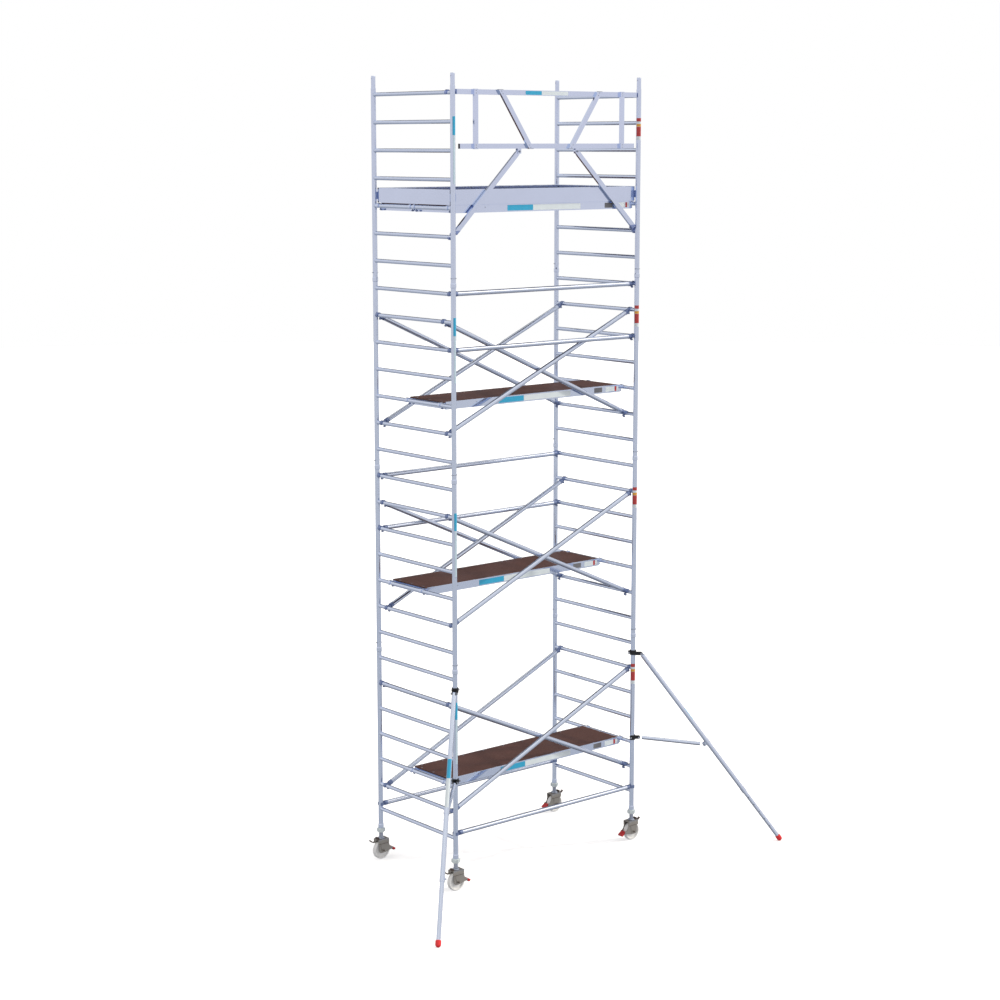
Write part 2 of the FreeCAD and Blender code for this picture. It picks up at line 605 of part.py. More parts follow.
# ---- stabilisers --------------------------------------------------------
# drawn in the XZ plane with the stile axis at x = 0 and the foot towards +X; the legs are
# first drawn along +X from their upper pivot
UPPER_Z, LOWER_Z = 2136.0, 1174.0    # coupler centres
UPPER_PIVOT_X, UPPER_PIVOT_Z = 90.0, UPPER_Z - 14.0
LOWER_PIVOT_X = 74.0
COUPLER_R, COUPLER_H = 35.0, 50.0
BAND_R, BAND_H = 38.0, 12.0
STAB_OD, STAB_ID = 48.0, 43.6
STAB_INNER_OD = 43.4
OUTER_LEN = 1950.0
INNER_START = 1480.0
BRACKET_AT = 1240.0          # strut bracket along the leg
BRACKET_DROP = 44.0          # its pin from the leg axis, on the tower side
FOOT_R = 29.0
FOOT_LEFT = (-2360.0, -1750.0)
FOOT_RIGHT = (2475.0, -1740.0)


def upper_coupler():
    """Ring round the stile with a banded bolt flange, two ears and the leg pivot."""
    px, pz = UPPER_PIVOT_X, UPPER_PIVOT_Z
    bottom = UPPER_Z - COUPLER_H / 2
    ring = cyl((0, 0, bottom), Z, COUPLER_R, COUPLER_H)
    ears = [box(20, px, y, y + 6, pz - 16, pz + 16) for y in (14.5, -20.5)]
    ears += [cyl((px, y, pz), Y, 16.0, 6.0) for y in (14.5, -20.5)]
    band = cyl((0, 0, UPPER_Z - BAND_H / 2), Z, BAND_R, BAND_H)
    flange = box(-52, -20, -9, 9, bottom + 6, UPPER_Z + COUPLER_H / 2 - 6)
    bolt = cyl((-43, -20, UPPER_Z), Y, 6.0, 40)
    for y in (-26, 16):
        bolt = bolt.fuse(cyl((-43, y, UPPER_Z), Y, 10.0, 8))
    body = fuse(ring, *ears, band, flange, bolt, cyl((px, -26, pz), Y, PIVOT_R, 52))
    return body.cut(cyl((0, 0, bottom - 20), Z, STILE_OD / 2 + RUN, 90))


def outer_leg():
    """Outer tube with a solid end tongue, a strut bracket and a spring button."""
    bore = STAB_ID / 2
    body = tube((26, 0, 0), X, OUTER_LEN - 26, STAB_OD / 2, bore)
    tongue = cyl((0, -13, 0), Y, 17.0, 26).fuse(box(0, 34, -13, 13, -16, 16))
    tongue = tongue.fuse(cyl((24, 0, 0), X, bore + 0.8, 50))
    tongue = tongue.cut(cyl((0, -30, 0), Y, PIVOT_R + RUN, 60))
    collar = cyl((OUTER_LEN - 60, 0, 0), X, STAB_OD / 2 + 2.5, 56)
    collar = collar.cut(cyl((OUTER_LEN - 62, 0, 0), X, bore + 0.2, 64))
    button = cyl((OUTER_LEN - 32, 24, 0), Y, 7.0, 12)
    button = button.fuse(cyl((OUTER_LEN - 32, 36, 0), Y, 10.0, 4))
    saddle = cyl((BRACKET_AT - 26, 0, 0), X, STAB_OD / 2 + 3.0, 52)
    pin = cyl((BRACKET_AT, -25, -BRACKET_DROP), Y, PIVOT_R, 50)
    lugs = [box(BRACKET_AT - 20, BRACKET_AT + 20, y, y + 5, -58, -18) for y in (15.5, -20.5)]
    body = body.fuse([tongue, collar, button, saddle, pin] + lugs)
    body = body.cut(cyl((90, 0, 0), X, bore, OUTER_LEN))
    return largest(body.removeSplitter())


def inner_leg(length):
    """Inner tube with five adjustment holes, ending inside the foot cap."""
    outer = STAB_INNER_OD / 2
    body = tube((INNER_START, 0, 0), X, length - 34.0 - INNER_START, outer, outer - 2.2)
    for i in range(5):
        body = body.cut(cyl((OUTER_LEN + 70 + 100 * i, -40, 0), Y, 5.5, 80))
    return body


def foot_cap(length):
    """Sleeve and dome round the end of the inner leg."""
    cap = cyl((length - 36, 0, 0), X, FOOT_R, 36.0)
    cap = cap.fuse(Part.makeSphere(FOOT_R, V(length, 0, 0)))
    cap = cap.fuse(Part.makeCone(FOOT_R - 3, FOOT_R, 4, V(length - 40, 0, 0), X))
    cap = cap.cut(cyl((length - 60, 0, 0), X, STAB_INNER_OD / 2, 26.0))
    return largest(cap.removeSplitter())


def stabiliser_strut(bracket_x, bracket_z):
    """Strut from the lower coupler's pivot to the bracket pin on the leg."""
    run, rise = bracket_x - LOWER_PIVOT_X, bracket_z - LOWER_Z
    length = math.hypot(run, rise)
    body = tube((34, 0, 0), X, length - 78, 20.0, 17.6)
    for eye, bar_start, bar_end in ((0, 0, 60), (length, length - 70, length)):
        body = body.fuse(cyl((eye, -15, 0), Y, 15.0, 30))
        body = body.fuse(box(bar_start, bar_end, -15, 15, -9, 9))
    body = body.cut(cyl((length, -30, 0), Y, PIVOT_R + RUN, 60))
    body = largest(body.removeSplitter())
    body = turned(body, Y, -math.degrees(math.atan2(rise, run)))
    body = moved(body, (LOWER_PIVOT_X, 0, LOWER_Z))
    return largest(body.cut(cyl((LOWER_PIVOT_X, -30, LOWER_Z), Y, PIVOT_R, 60)))


def lower_coupler():
    """Half coupler: a saddle on the stile, open on the side away from the strut."""
    px = LOWER_PIVOT_X
    z0, z1 = LOWER_Z - COUPLER_H / 2, LOWER_Z + COUPLER_H / 2
    clear = STILE_OD / 2 + 0.4
    body = cyl((0, 0, z0), Z, COUPLER_R, COUPLER_H)
    body = body.fuse(box(-22, 0, -COUPLER_R, COUPLER_R, z0, z1))
    body = body.fuse(cyl((0, 0, LOWER_Z - BAND_H / 2), Z, BAND_R, BAND_H))
    body = body.fuse([box(20, px, y, y + 5, LOWER_Z - 15, LOWER_Z + 15) for y in (16, -21)])
    body = body.fuse([cyl((px, y, LOWER_Z), Y, 15.0, 5.0) for y in (16, -21)])
    body = body.fuse(cyl((px, -26, LOWER_Z), Y, PIVOT_R, 52))
    body = body.fuse([cyl((-12, y, LOWER_Z), Y, 7.0, 6.0) for y in (34, -40)])
    body = body.cut(cyl((0, 0, z0 - 10), Z, clear, 70))
    body = body.cut(box(-60, 0, -clear, clear, z0 - 10, z1 + 10))
    return largest(body.removeSplitter())


def add_stabiliser(side, stile_x, foot):
    foot_x, foot_y = foot[0] - stile_x, foot[1] - FRONT_Y
    heading = math.degrees(math.atan2(foot_y, foot_x))
    run = math.hypot(foot_x, foot_y) - UPPER_PIVOT_X
    drop = UPPER_PIVOT_Z - FOOT_R
    length = math.hypot(run, drop)
    along_x, along_z = run / length, -drop / length   # direction of the leg
    tilt = math.degrees(math.atan2(along_z, along_x))

    def on_leg(shape):
        return moved(turned(shape, Y, -tilt), (UPPER_PIVOT_X, 0, UPPER_PIVOT_Z))

    bracket_x = UPPER_PIVOT_X + along_x * BRACKET_AT + along_z * BRACKET_DROP
    bracket_z = UPPER_PIVOT_Z + along_z * BRACKET_AT - along_x * BRACKET_DROP
    for name, shape in (
        ("upper_coupler", upper_coupler()),
        ("leg", on_leg(outer_leg())),
        ("inner_leg", on_leg(inner_leg(length))),
        ("foot", on_leg(foot_cap(length))),
        ("strut", stabiliser_strut(bracket_x, bracket_z)),
        ("lower_coupler", lower_coupler()),
    ):
        shape = moved(turned(shape, Z, heading), (stile_x, FRONT_Y, 0))
        put("stabiliser_%s_%s" % (side, name), shape)


add_stabiliser("left", LEFT_X, FOOT_LEFT)
add_stabiliser("right", RIGHT_X, FOOT_RIGHT)

# ---- export -------------------------------------------------------------
for name, solids in pieces.items():
    shape = solids[0] if len(solids) == 1 else Part.makeCompound(solids)
    shape.exportStep("parts/%s.step" % name)
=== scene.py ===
"""A rolling aluminium scaffold tower with castors, platforms and two stabilisers.

Metres, Z up, floor at z = 0. The tower's long bay runs along X (left is low x)
and its width along Y (front is low y). The CAD pieces get materials, and welds,
latches, rivets, films, end caps, bolts and castor parts are built onto them.
"""
import math
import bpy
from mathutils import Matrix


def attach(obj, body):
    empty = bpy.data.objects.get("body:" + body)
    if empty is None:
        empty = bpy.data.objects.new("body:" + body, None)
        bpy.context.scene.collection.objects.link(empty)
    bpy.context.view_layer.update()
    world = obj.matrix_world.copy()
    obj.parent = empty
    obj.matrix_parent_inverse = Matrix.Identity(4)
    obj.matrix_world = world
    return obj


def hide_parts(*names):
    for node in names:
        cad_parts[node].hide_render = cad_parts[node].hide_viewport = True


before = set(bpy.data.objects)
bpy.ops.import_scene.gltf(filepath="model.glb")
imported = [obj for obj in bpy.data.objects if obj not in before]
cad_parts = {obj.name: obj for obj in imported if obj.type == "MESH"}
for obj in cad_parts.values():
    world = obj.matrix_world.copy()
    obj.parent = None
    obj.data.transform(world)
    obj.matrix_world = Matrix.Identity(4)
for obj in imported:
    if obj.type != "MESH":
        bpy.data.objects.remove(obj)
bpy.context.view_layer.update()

from fnmatch import fnmatchcase
from itertools import product

import bmesh
import bpy
from mathutils import Matrix, Vector

SCENE = bpy.context.scene

# ---------------------------------------------------------------- dimensions (m)
CENTRE_X, CENTRE_Y = -0.0575, 0.5415    # tower centre in the row frame
HALF_BAY, HALF_WIDTH = 1.250, 0.644     # to the stile axes
X_LEFT, X_RIGHT = CENTRE_X - HALF_BAY, CENTRE_X + HALF_BAY
Y_FRONT, Y_BACK = CENTRE_Y - HALF_WIDTH, CENTRE_Y + HALF_WIDTH
RUNG_R, STILE_R = 0.020, 0.0254
FIRST_RUNG_Z, RUNG_PITCH = 0.560, 0.280
LEVELS, LEVEL_RUNGS = 4, 7
PLY_TOP = 0.0295                        # deck surface above its rung's axis

# end frames and castors: x, (y,) direction along x towards the tower's centre
ENDS = ((X_LEFT, 1), (X_RIGHT, -1))
CORNERS = {
    "back_left": (X_LEFT, Y_BACK, 1),
    "front_left": (X_LEFT, Y_FRONT, 1),
    "back_right": (X_RIGHT, Y_BACK, -1),
    "front_right": (X_RIGHT, Y_FRONT, -1),
}
# name, rung, y of the centre line from the tower's centre
PLATFORMS = [("1", 2, -0.190), ("2", 9, 0.160), ("3", 16, -0.160),
             ("4_front", 23, -0.300), ("4_back", 23, 0.300)]
UNFILMED = "4_back"     # the one platform without colour films
# level, y from the tower's centre, rises from left to right
DIAGONALS = [
    (1, -0.597, True), (1, -0.541, False), (1, 0.597, False), (1, 0.543, True),
    (2, -0.597, True), (2, -0.541, False), (2, 0.544, False), (2, 0.492, True),
    (3, -0.544, True), (3, -0.492, False), (3, 0.597, False), (3, 0.543, True),
]
HANDRAILS = [(13, 0.596), (11, 0.596), (20, -0.596), (18, -0.596)]     # rung, y
STABILISERS = {     # stile x, heading and tilt in degrees
    "left": (X_LEFT, -135.1034, -54.7908),
    "right": (X_RIGHT, -41.8188, -53.4118),
}


def rung_z(number):
    return FIRST_RUNG_Z + RUNG_PITCH * number


def local(x, y, z):
    """A point given from the tower's centre line."""
    return Vector((x + CENTRE_X, y + CENTRE_Y, z))


def new_object(name, data):
    obj = bpy.data.objects.new(name, data)
    SCENE.collection.objects.link(obj)
    return obj


# ---------------------------------------------------------------- node helpers
class Nodes:
    """Small wrapper so that a material reads as a list of steps."""

    def __init__(self, tree):
        self.tree = tree
        tree.nodes.clear()

    def add(self, kind, props=None, **inputs):
        """Inputs go by name, with _ for a space, or by number as i0, i1."""
        node = self.tree.nodes.new(kind)
        for key, value in (props or {}).items():
            setattr(node, key, value)
        for key, value in inputs.items():
            numbered = key[0] == "i" and key[1:].isdigit()
            socket = node.inputs[int(key[1:]) if numbered else key.replace("_", " ")]
            if isinstance(value, bpy.types.NodeSocket):
                self.tree.links.new(value, socket)
            else:
                socket.default_value = value
        return node

    def math(self, operation, a, b, c=0.0, clamp=False):
        props = {"operation": operation, "use_clamp": clamp}
        return self.add("ShaderNodeMath", props, i0=a, i1=b, i2=c).outputs[0]

    def plus(self, a, b, clamp=False):
        return self.math("ADD", a, b, clamp=clamp)

    def minus(self, a, b, clamp=False):
        return self.math("SUBTRACT", a, b, clamp=clamp)

    def times(self, a, b, clamp=False):
        return self.math("MULTIPLY", a, b, clamp=clamp)

    def swing(self, fac, gain):
        """A 0..1 factor turned into a swing about zero."""
        return self.times(self.minus(fac, 0.5), gain)

    def dot(self, a, b):
        props = {"operation": "DOT_PRODUCT"}
        return self.add("ShaderNodeVectorMath", props, i0=a, i1=b).outputs["Value"]

    def mix(self, fac, a, b):
        props = {"data_type": "RGBA", "clamp_factor": True}
        return self.add("ShaderNodeMix", props, i0=fac, i6=a, i7=b).outputs[2]

    def ramp(self, fac, stops):
        node = self.add("ShaderNodeValToRGB", i0=fac)
        elements = node.color_ramp.elements
        while len(elements) < len(stops):
            elements.new(0.5)
        for element, (position, level) in zip(elements, stops):
            element.position = position
            element.color = level if isinstance(level, tuple) else (level, level, level, 1)
        return node.outputs[0]

    def fade(self, fac, low, high):
        """0 below low, 1 above high."""
        return self.ramp(fac, [(low, 0.0), (high, 1.0)])

    def noise(self, point, scale, detail=3.0, rough=0.5, distortion=0.0):
        return self.add("ShaderNodeTexNoise", Vector=point, Scale=scale, Detail=detail,
                        Roughness=rough, Distortion=distortion).outputs["Fac"]

    def stretch(self, point, scale):
        return self.add("ShaderNodeMapping", Vector=point, Scale=scale).outputs[0]

    def object_point(self):
        return self.add("ShaderNodeTexCoord").outputs["Object"]

    def surface(self, colour, rough, height, bump, depth, **inputs):
        """Bumped principled shader on the output; returns the shader."""
        normal = self.add("ShaderNodeBump", Strength=bump, Distance=depth, Height=height)
        shader = self.add("ShaderNodeBsdfPrincipled", Base_Color=colour, Roughness=rough,
                          Normal=normal.outputs[0], **inputs)
        self.add("ShaderNodeOutputMaterial", Surface=shader.outputs[0])
        return shader


def rgb(*channels):
    """sRGB 0..255 to a linear colour."""
    def linear(c):
        c /= 255.0
        return c / 12.92 if c <= 0.04045 else ((c + 0.055) / 1.055) ** 2.4
    return opaque(linear(c) for c in channels)


def opaque(colour):
    return tuple(colour) + (1,)


def brighten(colour, gain, lift=0.0):
    return opaque(min(1.0, c * gain + lift) for c in colour)


def new_material(name):
    material = bpy.data.materials.new(name)
    material.use_nodes = True
    return material, Nodes(material.node_tree)


def wear_mask(tree, radius, gain):
    """1 along worn outer edges, broken up by noise."""
    normal = tree.add("ShaderNodeNewGeometry").outputs["Normal"]
    rounded = tree.add("ShaderNodeBevel", {"samples": 3}, Radius=radius).outputs[0]
    edge = tree.minus(1.0, tree.dot(normal, rounded))
    edge = tree.times(edge, gain, clamp=True)
    breaks = tree.noise(tree.object_point(), scale=90.0, detail=4.0, rough=0.65)
    return tree.times(edge, tree.fade(breaks, low=0.38, high=0.62), clamp=True)


def metal(name, base, metallic=0.85, rough=0.30, tone=0.07, grain=60.0, bump=0.12, wear=None,
          grazing_painted_shade=0.0, brush=(1.0, 1.0, 1.0), scuff=0.12, vary=1.0, marks=()):
    """Drawn or cast metal: cloudy tone, grain, fine drag marks, dull scuffs, polished edges.

    wear: edge radius, gain, brightening. brush: noise scale that draws the drag marks out.
    vary: strength of the roughness changes. marks: see the loop below. grazing_painted_shade:
    strength of a painted shade that darkens the surface where it turns edge-on to the view.
    """
    material, tree = new_material(name)
    point = tree.object_point()
    cloud = tree.noise(point, scale=2.3, detail=4.0, rough=0.6)
    fine = tree.noise(point, grain, detail=5.0, rough=0.65)
    drag = tree.noise(tree.stretch(point, brush), scale=220.0, detail=3.0, rough=0.6)
    spots = tree.noise(point, scale=17.0, detail=6.0, rough=0.72, distortion=0.4)
    spots = tree.fade(spots, low=0.56, high=0.70)
    base = Vector(base[:3])
    dark, light = opaque(base * (1 - tone)), brighten(base, 1 + tone * 0.7)
    colour = tree.mix(tree.fade(cloud, low=0.32, high=0.68), dark, light)
    colour = tree.mix(tree.times(tree.fade(fine, low=0.35, high=0.75), 0.35), colour, dark)
    colour = tree.mix(tree.times(spots, scuff), colour, opaque(base * 0.80))
    # painted shade: rims seen edge-on are darkened to stand in for the dark reflections along
    # the tubes' edges
    if grazing_painted_shade:
        facing = tree.add("ShaderNodeLayerWeight", Blend=0.5).outputs["Facing"]
        rim = tree.times(tree.fade(facing, low=0.55, high=0.95), grazing_painted_shade)
        colour = tree.mix(rim, colour, opaque(base * 0.35))
    rough = tree.plus(rough, tree.swing(fine, gain=0.22 * vary))
    rough = tree.plus(rough, tree.times(spots, 0.12 * vary))
    rough = tree.plus(rough, tree.swing(drag, gain=0.10 * vary), clamp=True)
    for axis, low, high, tint, matt in marks:
        # a cast or moulded zone of the same part: a span along one axis, its colour
        # and added roughness
        along = tree.add("ShaderNodeSeparateXYZ", i0=point).outputs[axis]
        along = tree.plus(along, tree.swing(tree.noise(point, scale=60.0), gain=0.002))
        above = tree.math("GREATER_THAN", along, low)
        zone = tree.times(above, tree.math("LESS_THAN", along, high))
        colour = tree.mix(zone, colour, tree.mix(fine, brighten(tint[:3], 0.86), tint))
        rough = tree.plus(rough, tree.times(zone, matt), clamp=True)
    if wear:
        radius, gain, bright = wear
        worn = wear_mask(tree, radius, gain)
        colour = tree.mix(worn, colour, brighten(base, bright))
        rough = tree.minus(rough, tree.times(worn, 0.10), clamp=True)
    height = tree.plus(tree.times(fine, 0.6), tree.times(drag, 0.4))
    tree.surface(colour, rough, height, bump, depth=0.0006, Metallic=metallic)
    return material


def plastic(name, base, rough=0.42, tone=0.10, bump=0.25, grain=240.0, wear=None,
            translucent=0.0, coat=0.0):
    """Moulded plastic and rubber: slight colour drift, moulded grain, scuffed edges.

    wear: edge radius, gain, colour.
    """
    material, tree = new_material(name)
    point = tree.object_point()
    cloud = tree.noise(point, scale=14.0, detail=4.0, rough=0.6)
    fine = tree.noise(point, grain, detail=4.0, rough=0.6)
    base = Vector(base[:3])
    dark, light = opaque(base * (1 - tone)), brighten(base, 1 + tone * 0.6)
    colour = tree.mix(tree.fade(cloud, low=0.3, high=0.7), dark, light)
    scratch = tree.noise(tree.stretch(point, (1.0, 1.0, 9.0)), scale=55.0, detail=6.0,
                         rough=0.75, distortion=1.2)
    scratch = tree.fade(scratch, low=0.60, high=0.68)
    colour = tree.mix(tree.times(scratch, 0.12), colour, brighten(base, 1.25, lift=0.03))
    rough = tree.plus(rough, tree.swing(fine, gain=0.25))
    rough = tree.plus(rough, tree.times(scratch, 0.15), clamp=True)
    if wear:
        radius, gain, worn_colour = wear
        worn = wear_mask(tree, radius, gain)
        colour = tree.mix(worn, colour, worn_colour)
        rough = tree.plus(rough, tree.times(worn, 0.15), clamp=True)
    shader = tree.surface(colour, rough, fine, bump, depth=0.0005, Coat_Weight=coat)
    if translucent:
        shader.inputs["Subsurface Weight"].default_value = translucent
        shader.inputs["Subsurface Radius"].default_value = (0.02, 0.02, 0.02)
        shader.inputs["Subsurface Scale"].default_value = 0.4
    return material


def film_faced_ply(name, base):
    """Phenolic film on plywood: pressed anti-slip lattice, mottled resin, scuffs
    and dust where people walk, worn light at the panel's edge."""
    material, tree = new_material(name)
    point = tree.object_point()
    base = Vector(base[:3])
    cloud = tree.noise(point, scale=3.0, detail=5.0, rough=0.62)
    mottle = tree.noise(point, scale=42.0, detail=5.0, rough=0.7)
    colour = tree.mix(tree.fade(cloud, low=0.3, high=0.7), opaque(base * 0.84),
                      opaque(base * 1.14))
    resin = tree.times(tree.fade(mottle, low=0.42, high=0.72), 0.45)
    colour = tree.mix(resin, colour, opaque(base * 0.72))
    streak = tree.noise(tree.stretch(point, (1.0, 12.0, 1.0)), scale=7.0, detail=6.0,
                        rough=0.7, distortion=0.6)
    streak = tree.times(tree.fade(streak, low=0.57, high=0.75), 0.18)
    dust = opaque(base * 1.7 + Vector((0.02, 0.02, 0.02)))
    colour = tree.mix(streak, colour, dust)
    turned = tree.add("ShaderNodeMapping", Vector=point, Rotation=(0, 0, math.radians(45)))
    cells = tree.add("ShaderNodeTexVoronoi", {"feature": "DISTANCE_TO_EDGE"},
                     Vector=turned.outputs[0], Scale=150.0, Randomness=0.12)
    lattice = tree.ramp(cells.outputs["Distance"], [(0.02, 1.0), (0.16, 0.0)])
    colour = tree.mix(tree.times(lattice, 0.30), colour, opaque(base * 0.6))
    worn = wear_mask(tree, radius=0.004, gain=3.0)
    colour = tree.mix(worn, colour, rgb(150, 118, 92))
    rough = tree.plus(0.52, tree.swing(mottle, gain=0.3), clamp=True)
    height = tree.plus(tree.times(lattice, 0.8), tree.times(mottle, 0.2))
    tree.surface(colour, rough, height, bump=0.35, depth=0.0008, Specular_IOR_Level=0.25)
    return material


# ---------------------------------------------------------------- materials
ALU = (0.68, 0.76, 0.93)
ALU_EXTRUDED = (0.675, 0.755, 0.94)
EXTRUSION = dict(metallic=0.97, tone=0.03, brush=(0.05, 1, 1), wear=(0.002, 1.4, 1.12),
                 scuff=0.05, vary=0.35)
PANEL_TINT, STRUT_TINT = (0.34, 0.42, 0.72, 1), (0.32, 0.40, 0.68, 1)
CLIP_DARK = rgb(42, 44, 50)
MATS = {
    # the tube and brace metals carry a painted shade on the rims they turn edge-on to the view
    "aluminium": metal(
        "aluminium_tube", ALU, metallic=0.95, rough=0.17, tone=0.035, bump=0.05,
        grazing_painted_shade=0.45, brush=(1, 1, 0.06), scuff=0.05, vary=0.4),
    "alu_brace": metal(
        "aluminium_brace", (0.68, 0.755, 0.905), metallic=0.96, rough=0.15, tone=0.035,
        bump=0.04, grazing_painted_shade=0.40, brush=(0.06, 1, 1), scuff=0.05, vary=0.35),
    "alu_flat": metal("aluminium_extrusion", ALU_EXTRUDED, rough=0.11, bump=0.035, **EXTRUSION),
    "alu_panel": metal(
        "aluminium_panel", ALU_EXTRUDED, rough=0.13, bump=0.04, **EXTRUSION,
        marks=((0, -2.0, -1.2640, PANEL_TINT, 0.18), (0, 1.1490, 2.0, PANEL_TINT, 0.18))),
    "alu_strut": metal("aluminium_strut", ALU_EXTRUDED, rough=0.15, bump=0.04, **EXTRUSION,
                       marks=((2, 0.0, 6.782, STRUT_TINT, 0.20),)),
    "plywood": film_faced_ply("film_faced_plywood", rgb(96, 66, 59)),
    "wheel_nylon": plastic("wheel_polyamide", rgb(238, 238, 236), rough=0.38, tone=0.05,
                           bump=0.15, translucent=0.12),
    "nut_nylon": plastic("nut_polyamide", rgb(222, 232, 234), rough=0.34, tone=0.06,
                         bump=0.15, translucent=0.30),
    "castor_steel": metal(
        "castor_zinc_steel", rgb(160, 156, 150), metallic=0.60, rough=0.38, tone=0.12,
        grain=130.0, bump=0.15, wear=(0.0022, 2.5, 1.5), scuff=0.25),
    "dark_steel": metal(
        "dark_steel", rgb(96, 84, 80), metallic=0.6, rough=0.40, tone=0.15, grain=120.0,
        bump=0.2, wear=(0.002, 2.5, 1.7), scuff=0.3),
    "red_plastic": plastic("red_moulding", rgb(196, 28, 34), rough=0.36, tone=0.12,
                           wear=(0.002, 2.0, rgb(226, 110, 104)), coat=0.15),
    "red_rubber": plastic("red_rubber", rgb(240, 52, 56), rough=0.55, tone=0.12, bump=0.35,
                          grain=320.0, wear=(0.003, 1.6, rgb(205, 88, 84))),
    "black_coupler": metal(
        "coupler_black", rgb(40, 42, 46), metallic=0.45, rough=0.40, tone=0.18, grain=150.0,
        bump=0.3, wear=(0.0022, 3.0, 3.0), scuff=0.2),
    "hook_casting": metal(
        "hook_casting", rgb(132, 148, 186), metallic=0.80, rough=0.34, tone=0.12,
        grain=190.0, bump=0.35, wear=(0.0025, 2.4, 1.6), scuff=0.25),
    "clip_casting": metal(
        "clip_casting", rgb(158, 178, 224), metallic=0.60, rough=0.36, tone=0.08,
        grain=190.0, bump=0.2, wear=(0.002, 2.0, 1.2),
        marks=((2, 7.168, 7.30, CLIP_DARK, 0.15), (2, 6.90, 7.051, CLIP_DARK, 0.15))),
    "latch_steel": metal(
        "latch_steel", rgb(126, 140, 176), metallic=0.75, rough=0.36, tone=0.12,
        grain=150.0, bump=0.15, wear=(0.002, 2.0, 1.4), scuff=0.2),
    "clip_plain": metal(
        "end_fitting", rgb(168, 184, 222), metallic=0.70, rough=0.32, tone=0.08,
        grain=190.0, bump=0.15, wear=(0.002, 2.0, 1.2)),
    "pin_steel": metal("pin_zinc", rgb(172, 178, 190), metallic=0.90, rough=0.26, tone=0.08,
                       grain=140.0),
    "leg_steel": metal("leg_zinc", rgb(172, 180, 196), metallic=0.85, rough=0.30, tone=0.10,
                       grain=110.0),
    "black_plastic": plastic("black_moulding", rgb(34, 36, 40), rough=0.45, tone=0.2,
                             wear=(0.002, 2.0, rgb(92, 94, 98))),
}
# colour films: name, colour, roughness, tone, coat
FILMS = [
    ("cyan", rgb(44, 172, 214), 0.30, 0.07, 0.2),
    ("white", rgb(226, 236, 240), 0.32, 0.04, 0.2),
    ("grey", rgb(116, 116, 120), 0.35, 0.10, 0.0),
    ("red", rgb(190, 52, 52), 0.32, 0.08, 0.2),
    ("orange", rgb(232, 168, 52), 0.32, 0.08, 0.2),
    ("pale", rgb(200, 222, 234), 0.32, 0.05, 0.2),
]
for film, film_colour, film_rough, film_tone, film_coat in FILMS:
    MATS["band_" + film] = plastic("film_" + film, film_colour, rough=film_rough,
                                   tone=film_tone, bump=0.05, grain=90.0, coat=film_coat)
BANDS = ["band_" + row[0] for row in FILMS]
CYAN, WHITE, GREY, RED, ORANGE, PALE = range(len(BANDS))

# CAD piece name pattern, material; the first match counts
NODE_MATERIALS = [
    ("frame_lock*", "pin_steel"), ("frame_*", "aluminium"), ("braces_*", "alu_brace"),
    ("brace_hooks", "hook_casting"), ("deck_*", "plywood"), ("guard_strut*", "alu_strut"),
    ("guard_panel", "alu_panel"), ("platform_frame*", "alu_flat"), ("toe_boards", "alu_flat"),
    ("toe_board_clips", "clip_casting"), ("castor_leg*", "leg_steel"),
    ("leg_nut*", "nut_nylon"), ("castor_fork*", "castor_steel"),
    ("castor_wheel*", "wheel_nylon"), ("castor_pedal*", "red_plastic"),
    ("*_foot", "red_rubber"), ("*_coupler", "black_coupler"), ("*", "alu_brace"),
]
for node_name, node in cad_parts.items():
    key = next(mat for pattern, mat in NODE_MATERIALS if fnmatchcase(node_name, pattern))
    if not node.material_slots:
        node.data.materials.append(MATS[key])
    for material_slot in node.material_slots:
        material_slot.material = MATS[key]


# ---------------------------------------------------------------- mesh builder
def frame_at(origin, z_axis, x_hint=(1, 0, 0)):
    z = Vector(z_axis).normalized()
    x = Vector(x_hint)
    x = x - z * x.dot(z)
    x.normalize()
    place = Matrix((x, z.cross(x), z)).transposed().to_4x4()
    place.translation = Vector(origin)
    return place


def upright(x, y, z=0, across=1, depth=1):
    """Stands an outline in the XZ plane; its thickness runs along Y."""
    return Matrix(((across, 0, 0, x), (0, 0, depth, y), (0, 1, 0, z), (0, 0, 0, 1)))


def circle(radius, z, sides):
    angles = [2 * math.pi * i / sides for i in range(sides)]
    return [(radius * math.cos(a), radius * math.sin(a), z) for a in angles]


def number_rows(count, size):
    """Vertex numbers of equal rows laid one after another."""
    return [range(i * size, (i + 1) * size) for i in range(count)]


def skin(rows, size):
    """Faces between neighbouring closed rows; a row of one vertex closes to a point."""
    faces = []
    for a, b in zip(rows, rows[1:]):
        for i in range(size):
            j = (i + 1) % size
            if len(a) == 1:
                faces.append((a[0], b[j], b[i]))
            elif len(b) == 1:
                faces.append((a[i], a[j], b[0]))
            else:
                faces.append((a[i], a[j], b[j], b[i]))
    return faces


